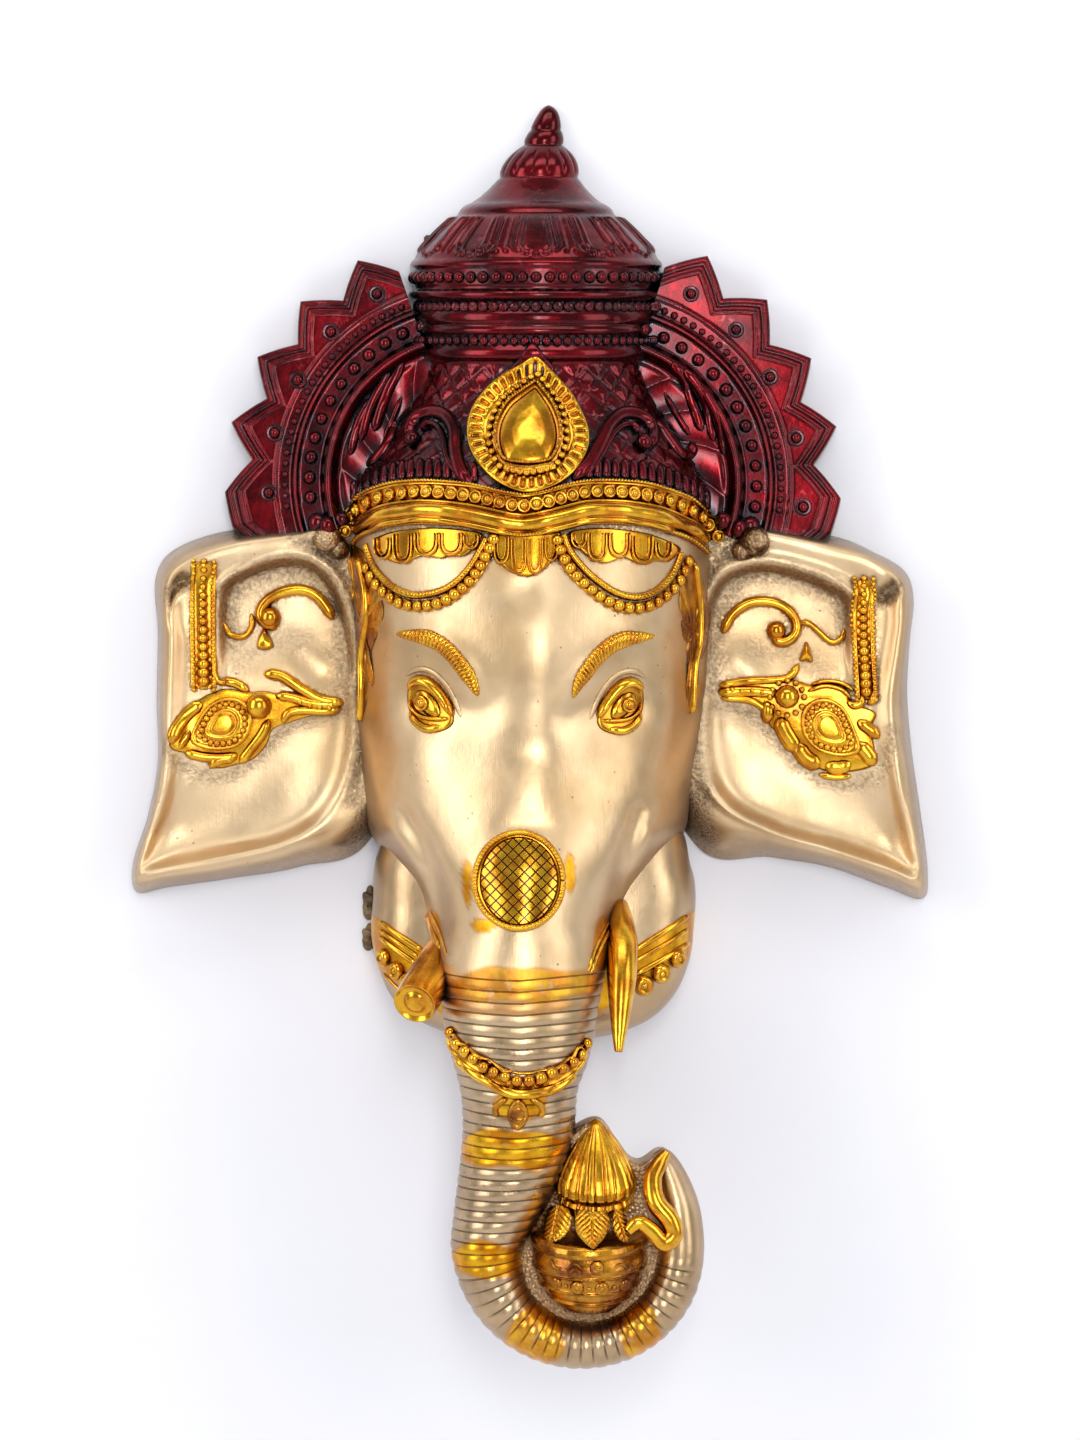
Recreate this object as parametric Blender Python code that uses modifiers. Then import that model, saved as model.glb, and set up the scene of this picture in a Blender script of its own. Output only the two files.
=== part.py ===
"""Ganesha wall hanging: one hollow brass casting, open at the back, hung by a bar across its crown.

The front faces -Y, the wall is the plane y = 0 and the bar's back is the origin.
"""
import math

import bmesh
import bpy
from mathutils import Vector
from mathutils.bvhtree import BVHTree

# Driving sizes in metres
HEIGHT = 0.612
WALL = 0.005
BAR_HEIGHT = 0.010
BAR_THICKNESS = 0.004

# The figure keeps its proportions: its carving is given in units of a 612th of the height. Heights
# count from a line across the crown's bead rows, and the bar is this far above that line.
UNIT = HEIGHT / 612
BAR_ABOVE_LINE = 42.0
WALL_UNITS = WALL / UNIT

# How far each form reaches behind the wall plane before it is cut flat there, in units
BEHIND = 6.0

BRASS = (0.62, 0.47, 0.24, 1.0)
BRASS_ROUGHNESS = 0.38

# Crown: radius and height of its turned profile, how far its tip leans, and depth to radius
CROWN_DEPTH = 0.93
CROWN_SHIFT = 2.6
CROWN_FOOT = -80.0
CROWN_LEAN = 6.2
CROWN_LEAN_FROM = 62.0
CROWN_TIP = 108.5
CROWN_STEPS = 22
CROWN_PROFILE = [
    (0.0, 108.5), (5.0, 105.0), (7.6, 97.5), (6.6, 95.0), (9.4, 93.8), (9.0, 90.0), (15.0, 85.0),
    (19.6, 77.0), (20.2, 73.0), (19.0, 70.6), (26.0, 66.6), (35.2, 60.0), (43.6, 53.6), (50.6, 46.2),
    (57.0, 38.4), (63.4, 33.0), (62.6, 30.8), (65.6, 28.2), (66.0, 23.0), (62.8, 18.4), (63.8, 16.5),
    (61.6, 12.0), (63.0, 9.0), (60.6, 4.5), (61.6, 0.8), (58.6, -3.0), (60.4, -6.6), (58.6, -10.0),
    (60.2, -13.5), (56.4, -15.5), (59.0, -40.0), (63.0, -56.0), (69.0, -68.0), (83.0, -84.0),
    (80.0, -92.0), (0.0, -96.0)]
# The crown's hollow touches its profile, less the wall, at these heights only
CROWN_HOLLOW_HEIGHTS = [61.0, 53.0, 44.0, 32.0, -16.0, -60.0, -86.0]
CROWN_HOLLOW_STEPS = 16

# Head and trunk: height, centre, half width, front, deepest point of the width and back of each section
HEAD_SIDES = 20
HOLLOW_SIDES = 12
HEAD_SECTIONS = [
    (-44.0, 0.0, 50.0, 50.0, 0.0, -BEHIND), (-72.0, 0.0, 73.8, 74.0, 0.0, -BEHIND),
    (-86.8, 0.0, 88.5, 84.0, 0.0, -BEHIND), (-106.5, 0.0, 91.4, 86.0, 0.0, -BEHIND),
    (-136.0, 0.0, 90.5, 92.0, 0.0, -BEHIND), (-165.5, 0.0, 89.5, 94.0, 0.0, -BEHIND),
    (-188.0, -0.4, 88.2, 93.0, 0.0, -BEHIND), (-209.0, -1.2, 85.5, 93.0, 0.0, -BEHIND),
    (-231.4, -1.9, 82.6, 96.0, 0.0, -BEHIND), (-249.1, -1.9, 79.0, 101.0, 0.0, -BEHIND),
    (-262.0, -2.2, 70.0, 105.5, 2.0, -BEHIND), (-275.0, -2.7, 56.5, 109.0, 14.0, -BEHIND),
    (-288.4, -3.4, 48.2, 113.0, 34.0, -BEHIND), (-301.0, -3.7, 44.7, 117.0, 60.0, 14.0),
    (-314.5, -4.6, 41.1, 119.0, 76.0, 36.0), (-328.4, -4.8, 37.9, 120.0, 82.0, 48.0),
    (-342.5, -5.0, 36.0, 120.0, 85.0, 54.0), (-356.6, -4.8, 32.4, 119.0, 87.0, 57.0),
    (-371.0, -5.5, 28.0, 116.0, 87.0, 59.0), (-385.4, -5.5, 26.9, 113.0, 86.0, 60.0),
    (-399.8, -6.9, 26.2, 111.0, 85.0, 60.0), (-416.6, -10.7, 24.3, 109.0, 84.5, 60.0),
    (-432.0, -15.9, 21.0, 107.0, 84.0, 60.0)]

# Trunk curl: centre and radius of its spine, and the angle, half width and half depth of each section
CURL_CENTRE = (25.4, -446.0)
CURL_RADIUS = 45.8
CURL_MIDDLE = 84.0
CURL_SECTIONS = [
    (182, 17.4, 22.0), (203, 15.6, 21.0), (224, 14.0, 20.0), (246, 12.8, 19.0), (268, 12.0, 18.5),
    (290, 11.8, 18.0), (312, 11.8, 17.5), (334, 11.9, 17.0), (356, 11.6, 16.5)]
# Trunk tip: centre, half width, half depth and turn of the last sections
TIP_SECTIONS = [
    (70.4, -430.0, 10.8, 15.5, 3), (67.4, -416.0, 8.8, 13.5, 12), (63.4, -405.0, 6.0, 10.0, 24),
    (60.8, -399.8, 2.6, 5.0, 30)]

# Jaw behind the trunk: its outline at the wall, and how far it bulges
JAW_OUTLINE = [
    (-58.0, -240.0), (-75.3, -259.8), (-78.0, -284.0), (-78.6, -303.0), (-72.8, -324.0),
    (-62.8, -338.6), (-43.4, -348.6), (-20.0, -352.6), (2.0, -353.6), (32.9, -351.6), (54.4, -345.1),
    (67.8, -334.6), (76.3, -319.7), (80.3, -299.7), (79.3, -268.3), (58.0, -240.0)]
JAW_RINGS = [(0.0, -BEHIND), (0.0, 22.0), (3.0, 42.0), (9.0, 53.0), (20.0, 56.0)]
JAW_CENTRE = (0.0, -296.0)

# Zigzag fans: centre, angle of the first tooth, step between teeth, radius of the tips and how it changes
FAN_TEETH = 5
FAN_TOOTH = 13.2
FAN_SIDES = {
    "left": {"centre": (-29.3, -76.7), "first": 117.3, "step": 16.3, "tip": 124.6, "drift": -0.2},
    "right": {"centre": (31.4, -78.6), "first": 63.7, "step": -16.7, "tip": 128.1, "drift": -1.1}}
# Rings of a fan: how far in from the zigzag edge and how high, then radius and height of the rest
FAN_EDGE_RINGS = [(0.0, -BEHIND), (0.0, 4.0), (4.0, 20.0)]
FAN_RINGS = [(90.0, 22.0), (75.6, 23.5), (73.2, 29.0), (69.6, 29.0), (66.0, 25.0)]
# Behind the crown, a fan's edge runs this far inside its innermost ring
FAN_HIDDEN_INSIDE = 14.0
FAN_HIDDEN_RADIUS = FAN_RINGS[-1][0] - FAN_HIDDEN_INSIDE
FAN_HIDDEN_POINTS = 6
# Corner below the last tooth that is tucked under the ear: degrees past the edge's end, and radius
FAN_TUCK = (10.0, 106.0)
FAN_BEADS = 11
# The first bead sits this many steps past the fan's first tooth, and this many are left over in all
FAN_BEAD_START = 0.9
FAN_BEAD_SPARE = 0.6
FAN_BEAD_ORBIT = 80.4
FAN_BEAD_RADIUS = 3.7
# Height of a fan's face where the beads sit
FAN_FACE = 22.6

# Ears: outline where the wall starts and outline of the front rim, point for point
EAR_OUTLINES = {
    "left": {
        "base": [
            (-84.0, -96.0), (-111.0, -97.0), (-151.7, -99.2), (-179.7, -109.1), (-188.9, -124.0),
            (-187.5, -150.0), (-188.0, -185.0), (-187.2, -215.0), (-192.2, -242.4), (-199.8, -267.0),
            (-197.7, -281.9), (-181.7, -279.5), (-148.7, -274.9), (-114.8, -269.4), (-79.4, -256.0),
            (-50.0, -180.0)],
        "front": [
            (-84.0, -101.0), (-113.6, -103.0), (-147.1, -108.9), (-167.8, -116.2), (-178.6, -128.6),
            (-179.1, -155.6), (-180.1, -185.2), (-181.1, -214.7), (-185.0, -241.8), (-192.0, -262.0),
            (-193.0, -272.8), (-178.0, -271.0), (-152.0, -267.0), (-118.6, -258.0), (-85.6, -240.3),
            (-50.0, -176.0)],
        "centre": (-134.0, -190.0)},
    "right": {
        "base": [
            (84.0, -94.0), (111.8, -96.2), (151.8, -102.2), (172.0, -110.6), (187.6, -120.0),
            (192.2, -134.0), (190.2, -155.1), (189.2, -182.0), (191.7, -212.0), (195.7, -240.0),
            (199.4, -272.0), (196.2, -285.3), (178.2, -279.9), (148.8, -269.4), (119.8, -265.0),
            (81.4, -259.9), (50.0, -180.0)],
        "front": [
            (84.0, -100.0), (112.8, -101.5), (149.7, -110.3), (168.0, -115.6), (181.0, -126.1),
            (184.0, -140.0), (183.0, -157.0), (179.0, -185.2), (181.2, -209.0), (185.0, -236.0),
            (190.4, -262.0), (191.1, -275.7), (176.0, -270.0), (147.0, -260.5), (116.0, -251.0),
            (85.7, -232.0), (50.0, -176.0)],
        "centre": (134.0, -190.0)}}
# Rings inside an ear's front rim: share of its distance from the centre, and height
EAR_RINGS = [(1.0, 26.0), (0.96, 28.5), (0.92, 26.0), (0.89, 20.0)]
EAR_HOLLOW_RINGS = [(1.0, 26.0), (0.9, 20.0)]
EAR_STEPS = 2
# Least distance from an ear's centre to its rim, which sets the share that a wall takes off
EAR_REACH = 62.0

# Medallion on the turban: centre, half height, half width, and rings of share and height above the turban
MEDALLION_CENTRE = (-0.8, -54.0)
MEDALLION_HALF = (30.4, 33.4)
MEDALLION_RINGS = [
    (1.0, 40.0), (1.0, 64.0), (0.93, 67.0), (0.62, 66.0), (0.54, 70.0), (0.43, 67.0), (0.38, 71.0),
    (0.2, 75.0)]
MEDALLION_SIDES = 20
# How full the drop's sides are
MEDALLION_FULLNESS = 1.12

# Oval mark on the trunk root: centre, radii, height of its rim and how deep its face is sunk
MARK_CENTRE = (-5.3, -270.5)
MARK_RADII = (22.0, 24.4)
MARK_RINGS = [(1.0, 96.0), (1.0, 110.5), (0.9, 112.5), (0.8, 110.0)]
MARK_TILT = 0.27

# Ridges laid along a surface: points across and up, radius, and how far the middle is sunk
RIDGES = {
    "headband_beads": (
        [(-91.5, -97.0), (-84.0, -90.5), (-72.0, -87.2), (-55.0, -84.8), (-38.0, -84.6), (-20.0, -86.6),
         (-9.0, -90.4), (-1.0, -91.6), (8.0, -90.0), (18.0, -87.0), (36.0, -84.8), (54.0, -85.6),
         (70.0, -89.2), (82.0, -93.4), (92.0, -98.0)], 3.9, 1.2),
    "headband_edge": (
        [(-92.0, -113.0), (-80.0, -107.6), (-62.0, -102.4), (-46.0, -99.6), (-22.0, -100.0),
         (-4.0, -104.0), (10.0, -101.6), (26.0, -99.6), (50.0, -101.6), (72.0, -107.4),
         (92.0, -118.5)], 3.4, 1.6),
    "left_swag": (
        [(-78.0, -109.0), (-72.0, -128.0), (-60.0, -139.0), (-46.0, -141.0), (-33.0, -135.0),
         (-24.5, -120.0), (-22.5, -105.0)], 3.4, 1.0),
    "right_swag": (
        [(75.0, -108.0), (70.0, -124.0), (57.0, -137.0), (42.0, -139.6), (26.0, -131.0),
         (11.0, -116.0), (8.0, -105.0)], 3.4, 1.0),
    "left_brow": (
        [(-64.5, -152.8), (-57.6, -154.4), (-50.4, -155.2), (-43.6, -158.2), (-37.8, -163.4),
         (-31.6, -170.2), (-26.4, -178.0), (-24.8, -184.0)], 3.4, 1.0),
    "right_brow": (
        [(61.6, -156.0), (54.4, -154.8), (47.4, -156.2), (41.6, -160.0), (34.8, -165.6),
         (28.4, -173.6), (21.2, -181.0), (15.4, -185.8)], 3.4, 1.0),
    "left_upper_lid": (
        [(-64.5, -178.0), (-56.4, -174.8), (-47.6, -178.6), (-41.0, -185.0), (-38.0, -194.0)], 2.6, 0.8),
    "right_upper_lid": (
        [(58.0, -178.0), (46.4, -175.4), (38.2, -181.6), (33.4, -190.4), (32.6, -199.0)], 2.6, 0.8),
    "left_turban_volute": (
        [(-22.0, -77.0), (-32.0, -68.0), (-38.0, -54.0), (-46.0, -43.4), (-53.0, -44.0),
         (-57.0, -51.0), (-54.0, -57.0)], 3.6, 1.0),
    "right_turban_volute": (
        [(26.5, -73.0), (33.0, -60.0), (41.0, -48.0), (49.0, -45.0), (56.0, -50.0),
         (57.5, -58.0), (52.0, -60.0)], 3.6, 1.0),
    "left_ear_fold": (
        [(-150.0, -115.0), (-122.0, -116.0), (-102.0, -122.0), (-90.5, -140.0), (-86.5, -160.0),
         (-90.5, -180.0)], 3.2, 1.0),
    "right_ear_fold": (
        [(150.0, -131.0), (130.0, -121.0), (110.0, -119.0), (96.0, -130.0), (90.0, -150.0),
         (91.0, -170.0)], 3.2, 1.0),
    "left_ear_strap": ([(-160.0, -119.0), (-160.5, -150.0), (-160.5, -180.0)], 5.6, 2.6),
    "right_ear_strap": ([(161.5, -126.0), (161.8, -156.0), (162.4, -187.0)], 5.6, 2.6),
    "left_ear_scroll": (
        [(-98.0, -147.0), (-108.0, -136.0), (-120.0, -131.6), (-131.0, -137.0), (-132.0, -146.0),
         (-126.0, -149.0)], 2.6, 0.8),
    "right_ear_scroll": (
        [(92.0, -152.0), (100.0, -140.0), (111.0, -135.4), (125.0, -140.0), (127.0, -150.0),
         (120.0, -154.0)], 2.6, 0.8),
    "left_temple_lock": (
        [(-85.0, -121.0), (-84.0, -140.0), (-81.0, -154.0), (-82.0, -172.0), (-83.0, -196.0)], 3.2, 1.0),
    "right_temple_lock": (
        [(76.0, -131.0), (80.0, -146.0), (83.0, -160.0), (80.0, -192.0)], 3.2, 1.0),
    "trunk_garland": (
        [(-38.0, -336.0), (-30.0, -348.0), (-18.0, -357.0), (-7.0, -362.0), (-1.0, -364.0),
         (6.0, -361.0), (17.0, -356.0), (25.0, -350.0), (31.0, -338.0)], 3.4, 1.2)}

# Bosses on a surface: centre, radii across, up and out of the surface
BOSSES = {
    "left_eye": ((-48.8, -188.6), (18.4, 12.4, 5.0)),
    "right_eye": ((43.7, -189.7), (18.4, 12.4, 5.0)),
    "left_ear_bird": ((-150.4, -192.0), (9.6, 7.4, 7.0)),
    "right_ear_bird": ((143.0, -196.0), (9.2, 7.4, 7.0)),
    "left_ear_knob": ((-133.0, -186.0), (6.8, 6.8, 7.0)),
    "right_ear_knob": ((124.6, -184.0), (6.6, 6.6, 7.0)),
    "left_ear_tail": ((-108.0, -183.0), (17.0, 6.0, 4.0)),
    "right_ear_tail": ((104.0, -181.0), (12.0, 6.0, 4.0)),
    "left_ear_feathers": ((-140.0, -206.0), (13.0, 7.0, 4.0)),
    "right_ear_feathers": ((140.0, -214.0), (14.0, 7.0, 4.0)),
    "left_stud": ((-98.6, -104.6), (6.4, 6.4, 8.0)),
    "right_stud": ((109.8, -105.8), (6.4, 6.4, 8.0)),
    "garland_drop": ((-5.6, -383.0), (5.6, 8.0, 4.6)),
    "left_jaw_bead": ((-67.0, -318.0), (4.4, 4.4, 4.4)),
    "right_jaw_bead": ((60.0, -326.0), (4.4, 4.4, 4.4)),
    "middle_hanging_petals": ((-2.0, -111.0), (8.0, 10.0, 3.4))}

# A ball with a radius over this has 80 faces in place of 20
LARGE_BALL = 17.5

# Tusks: points across, up and off the wall with the radius there
TUSKS = {
    "broken_left_tusk": [
        (-40.0, -308.0, 66.0, 8.0), (-47.0, -318.0, 84.0, 9.8), (-53.0, -327.0, 101.0, 9.6),
        (-54.5, -330.0, 108.0, 9.0)],
    "right_tusk": [
        (44.0, -288.0, 60.0, 7.0), (45.0, -302.0, 76.0, 8.4), (43.5, -322.0, 90.0, 6.6),
        (42.5, -342.0, 98.0, 4.4), (42.0, -352.0, 100.0, 2.2)]}

# Offering in the curl: the web behind it, a turned pot, three leaves and a coconut
WEB_OUTLINE = [
    (-10.0, -446.0), (2.0, -400.0), (18.0, -391.0), (34.0, -392.0), (47.0, -404.0), (64.0, -413.0),
    (66.0, -446.0),
    (52.0, -476.0), (25.0, -486.0), (-2.0, -474.0)]
WEB_BACK = 66.0
WEB_FRONT = 76.0
OFFERING_AXIS = 88.0
POT_CENTRE = 28.0
POT_PROFILE = [
    (0.0, -438.6), (25.4, -440.0), (25.8, -443.4), (20.6, -446.8), (24.0, -451.0), (24.4, -457.0),
    (20.6, -465.0), (14.0, -470.6), (14.6, -474.4), (12.0, -480.0), (0.0, -481.0)]
COCONUT_CENTRE = 32.2
COCONUT_PROFILE = [
    (0.0, -384.0), (5.0, -387.0), (12.0, -392.4), (17.6, -400.0), (19.4, -409.0), (18.0, -417.0),
    (13.0, -424.0), (0.0, -428.0)]
OFFERING_STEPS = 16
LEAVES = [(13.0, -430.0, -22), (29.0, -433.0, 0), (42.6, -431.0, 24)]
LEAF_RADII = (6.4, 11.5, 4.6)
LEAF_AXIS = 106.0
LIP = [
    (66.0, -401.0, 97.0, 1.8), (58.0, -410.0, 103.0, 2.8), (60.6, -424.0, 106.0, 3.4),
    (69.0, -435.0, 105.0, 3.4), (64.0, -438.4, 106.0, 3.0), (53.6, -430.0, 107.0, 2.6),
    (46.0, -432.0, 108.0, 1.8)]

# Ragged casting flash left behind the jaw: centre and size of each flake
FLASH_FLAKES = [((-80.6, -288.0), (6.0, 6.0, 12.0)), ((-80.8, -303.0), (5.6, 5.0, 10.0))]
FLASH_TURN = 14

# Hollow: sections stop short of the trunk's tip, and the fans' teeth stay solid
HOLLOW_CURL_SECTIONS = 2 * len(CURL_SECTIONS) // 3
HOLLOW_BEHIND_TRUNK = 16.0
# An outline point moves inwards by this share of its way to the centre at most
MOST_MOVED = 0.9


def new_collection(name, cutters=False):
    """Make a collection; one for cutters is left out of the render."""
    collection = bpy.data.collections.new(name)
    collection.hide_render = cutters
    bpy.context.scene.collection.children.link(collection)
    return collection


def add_object(name, bm, collection):
    """Turn a bmesh drawn in units into an object in metres, with its faces outward."""
    bmesh.ops.remove_doubles(bm, verts=bm.verts, dist=0.001)
    bmesh.ops.recalc_face_normals(bm, faces=bm.faces)
    bmesh.ops.translate(bm, vec=(0.0, 0.0, -BAR_ABOVE_LINE), verts=bm.verts)
    bmesh.ops.scale(bm, vec=(UNIT, UNIT, UNIT), verts=bm.verts)
    mesh = bpy.data.meshes.new(name)
    bm.to_mesh(mesh)
    bm.free()
    thing = bpy.data.objects.new(name, mesh)
    collection.objects.link(thing)
    if collection.hide_render:
        thing.display_type = "WIRE"
        thing.hide_render = True
    return thing


def smooth_path(points, steps, closed=False):
    """Catmull-Rom curve through points of any length, with this many steps from one to the next."""
    count = len(points)
    spans = count if closed else count - 1
    path = []
    for span in range(spans):
        if closed:
            near = [points[(span + k) % count] for k in (-1, 0, 1, 2)]
        else:
            near = [points[min(max(span + k, 0), count - 1)] for k in (-1, 0, 1, 2)]
        for step in range(steps):
            t = step / steps
            path.append(tuple(
                0.5 * (2 * b + (c - a) * t + (2 * a - 5 * b + 4 * c - d) * t ** 2
                       + (3 * b - a - 3 * c + d) * t ** 3)
                for a, b, c, d in zip(*near)))
    if not closed:
        path.append(tuple(points[-1]))
    return path


def loft(name, rings, collection):
    """Skin closed rings of equal length, each a list of points in units, and cap both ends."""
    bm = bmesh.new()
    rows = [[bm.verts.new(point) for point in ring] for ring in rings]
    for row, following in zip(rows, rows[1:]):
        for k in range(len(row)):
            after = (k + 1) % len(row)
            bm.faces.new((row[k], row[after], following[after], following[k]))
    for row in (rows[0], rows[-1]):
        middle = bm.verts.new(sum((v.co for v in row), Vector()) / len(row))
        for k in range(len(row)):
            bm.faces.new((row[k], row[(k + 1) % len(row)], middle))
    return add_object(name, bm, collection)


def turned(name, profile, axis, steps, depth, collection, lean=None):
    """Turn a profile of radius and height about an upright axis at (across, off the wall)."""
    bm = bmesh.new()
    points = [bm.verts.new((radius, 0, height)) for radius, height in profile]
    for one, other in zip(points, points[1:]):
        bm.edges.new((one, other))
    line = bpy.data.meshes.new(name)
    bm.to_mesh(line)
    bm.free()
    turning = bpy.data.objects.new(name, line)
    collection.objects.link(turning)
    screw = turning.modifiers.new("turn", "SCREW")
    screw.steps = steps
    screw.render_steps = steps
    screw.use_merge_vertices = True
    screw.merge_threshold = 0.0001
    solid = bmesh.new()
    solid.from_mesh(turning.evaluated_get(bpy.context.evaluated_depsgraph_get()).to_mesh())
    bpy.data.objects.remove(turning)
    bpy.data.meshes.remove(line)
    for vert in solid.verts:
        shift = lean(vert.co.z) if lean else 0.0
        vert.co.x += axis[0] + shift
        vert.co.y = vert.co.y * depth - axis[1]
    return add_object(name, solid, collection)


def crown_lean(height):
    """How far the crown's axis has moved across at this height, in units."""
    shifted = CROWN_SHIFT * min(max((height - CROWN_FOOT) / -CROWN_FOOT, 0.0), 1.0)
    leaning = max((height - CROWN_LEAN_FROM) / (CROWN_TIP - CROWN_LEAN_FROM), 0.0)
    return shifted + CROWN_LEAN * leaning ** 1.3


def crown_radius(height):
    """Radius of the crown's profile at a height on its outer side, in units."""
    for (above, top), (below, bottom) in zip(CROWN_PROFILE, CROWN_PROFILE[1:]):
        if top >= height >= bottom:
            return above + (below - above) * (top - height) / (top - bottom)
    return 0.0


def make_crown(name, inset, collection):
    """The turned crown, or its hollow when inset by the wall."""
    if not inset:
        return turned(name, CROWN_PROFILE, (0.0, 0.0), CROWN_STEPS, CROWN_DEPTH, collection, crown_lean)
    side = [(crown_radius(height) - inset, height) for height in CROWN_HOLLOW_HEIGHTS]
    profile = [(0.0, side[0][1])] + side + [(0.0, side[-1][1])]
    return turned(name, profile, (0.0, 0.0), CROWN_HOLLOW_STEPS, CROWN_DEPTH, collection, crown_lean)


def head_section(height, centre, half, front, middle, back, sides):
    """One level section: a blunt half oval in front of its widest line and another behind it."""
    ring = []
    for k in range(sides):
        angle = 2 * math.pi * k / sides
        across = math.cos(angle)
        out = math.sin(angle)
        reach = front - middle if out > 0 else middle - back
        ring.append((centre - half * across, -middle - reach * out, height))
    return ring


def turned_section(spot, turn, half, middle, half_depth, sides):
    """One oval section of the curl, its width lying along the direction turn, in degrees."""
    way = (math.cos(math.radians(turn)), math.sin(math.radians(turn)))
    ring = []
    for k in range(sides):
        angle = 2 * math.pi * k / sides
        across = half * math.cos(angle)
        ring.append((spot[0] + way[0] * across, -middle - half_depth * math.sin(angle),
                     spot[1] + way[1] * across))
    return ring


def curl_spot(angle):
    """Point of the curl's spine at an angle in degrees."""
    turn = math.radians(angle)
    return (CURL_CENTRE[0] + CURL_RADIUS * math.cos(turn), CURL_CENTRE[1] + CURL_RADIUS * math.sin(turn))


def make_head_and_trunk(name, inset, collection):
    """Head, trunk and curl as one loft, or its hollow, which runs out behind the trunk."""
    rings = []
    sides = HOLLOW_SIDES if inset else HEAD_SIDES
    for height, centre, half, front, middle, back in HEAD_SECTIONS[::2 if inset else 1]:
        if inset:
            back = back - HOLLOW_BEHIND_TRUNK
        rings.append(head_section(height, centre, half - inset, front - inset, middle, back, sides))
    sections = CURL_SECTIONS[:HOLLOW_CURL_SECTIONS] if inset else CURL_SECTIONS
    for angle, half, half_depth in sections:
        shift = (HOLLOW_BEHIND_TRUNK - inset) / 2 if inset else 0.0
        rings.append(turned_section(curl_spot(angle), angle, half - inset, CURL_MIDDLE - shift,
                                    half_depth - inset + shift, sides))
    if not inset:
        for across, height, half, half_depth, turn in TIP_SECTIONS:
            rings.append(turned_section((across, height), turn, half, CURL_MIDDLE, half_depth, sides))
    return loft(name, rings, collection)


def towards(point, centre, distance):
    """Move a point this far towards a centre."""
    gap = Vector(centre) - Vector(point)
    return tuple(Vector(point) + gap.normalized() * min(distance, gap.length * MOST_MOVED))


def make_jaw(name, inset, collection):
    """The jaw, a pillow standing on its outline."""
    rings = []
    for shift, height in JAW_RINGS:
        raised = height - inset
        rings.append([(x, -raised, z) for x, z in
                      (towards(point, JAW_CENTRE, shift + inset) for point in JAW_OUTLINE)])
    return loft(name, rings, collection)


def fan_angles(fan):
    """Angle and edge radius of each corner of the zigzag, then of the arc hidden in the head."""
    corners = []
    for tooth in range(FAN_TEETH):
        tip = fan["tip"] + fan["drift"] * tooth
        corners.append((fan["first"] + fan["step"] * (tooth - 0.5), tip - FAN_TOOTH))
        corners.append((fan["first"] + fan["step"] * tooth, tip))
    last = fan["first"] + fan["step"] * (FAN_TEETH - 0.5)
    corners.append((last, fan["tip"] + fan["drift"] * FAN_TEETH))
    last += math.copysign(FAN_TUCK[0], fan["step"])
    corners.append((last, FAN_TUCK[1]))
    sweep = math.copysign(360, fan["step"]) - (last - corners[0][0])
    hidden = [(last + sweep * (k + 1) / (FAN_HIDDEN_POINTS + 1), None) for k in range(FAN_HIDDEN_POINTS)]
    return corners + hidden


def make_fan(name, side, inset, collection):
    """One zigzag fan; its hollow has a plain round edge, so that the teeth stay solid."""
    fan = FAN_SIDES[side]
    rings = []
    for shift, height in FAN_EDGE_RINGS:
        raised = height - inset
        ring = []
        for angle, radius in fan_angles(fan):
            edge = FAN_HIDDEN_RADIUS if radius is None else radius
            if inset and radius is not None:
                edge = min(edge, fan["tip"] - FAN_TOOTH - 1.0)
            turn = math.radians(angle)
            reach = edge - (shift + inset if radius is not None else 0.0)
            ring.append((fan["centre"][0] + reach * math.cos(turn), -raised,
                         fan["centre"][1] + reach * math.sin(turn)))
        rings.append(ring)
    for reach, height in FAN_RINGS:
        ring = []
        for angle, radius in fan_angles(fan):
            turn = math.radians(angle)
            near = min(reach, FAN_HIDDEN_RADIUS * reach / FAN_RINGS[0][0]) if radius is None else reach
            ring.append((fan["centre"][0] + near * math.cos(turn), inset - height,
                         fan["centre"][1] + near * math.sin(turn)))
        rings.append(ring)
    return loft(name, rings, collection)


def make_ear(name, side, inset, collection):
    """One ear: a flared wall up to a rolled rim, with a sunk face inside it."""
    ear = EAR_OUTLINES[side]
    middle = Vector(ear["centre"])
    steps = 1 if inset else EAR_STEPS
    less = inset / EAR_REACH
    base = [Vector(point) for point in smooth_path(ear["base"], steps, closed=True)]
    front = [Vector(point) for point in smooth_path(ear["front"], steps, closed=True)]
    levels = EAR_HOLLOW_RINGS if inset else EAR_RINGS
    behind = BEHIND + inset
    flare = behind / levels[0][1]
    places = [[low + (low - high) * flare for low, high in zip(base, front)]]
    places += [[middle + (high - middle) * share for high in front] for share, _ in levels]
    heights = [-behind] + [height - inset for _, height in levels]
    rings = []
    for ring, height in zip(places, heights):
        spots = [middle + (spot - middle) * (1 - less) for spot in ring]
        rings.append([(spot.x, -height, spot.y) for spot in spots])
    return loft(name, rings, collection)


def make_stack(name, centre, outline, rings, collection, tilt=0.0):
    """Rings of one outline about a centre, each with its share of it and its height, which may tilt."""
    return loft(name, [[(centre[0] + x * share, z * share * tilt - height, centre[1] + z * share)
                        for x, z in outline] for share, height in rings], collection)


def make_ball(name, place, radii, collection, turn=0.0):
    """A ball of few faces, stretched to its radii across, out and up, and turned about Y."""
    bm = bmesh.new()
    bmesh.ops.create_icosphere(bm, subdivisions=2 if max(radii) > LARGE_BALL else 1, radius=1.0)
    way = (math.cos(math.radians(turn)), math.sin(math.radians(turn)))
    for vert in bm.verts:
        across = vert.co.x * radii[0]
        up = vert.co.z * radii[2]
        vert.co = (place[0] + across * way[0] + up * way[1], place[1] + vert.co.y * radii[1],
                   place[2] + up * way[0] - across * way[1])
    return add_object(name, bm, collection)


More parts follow.
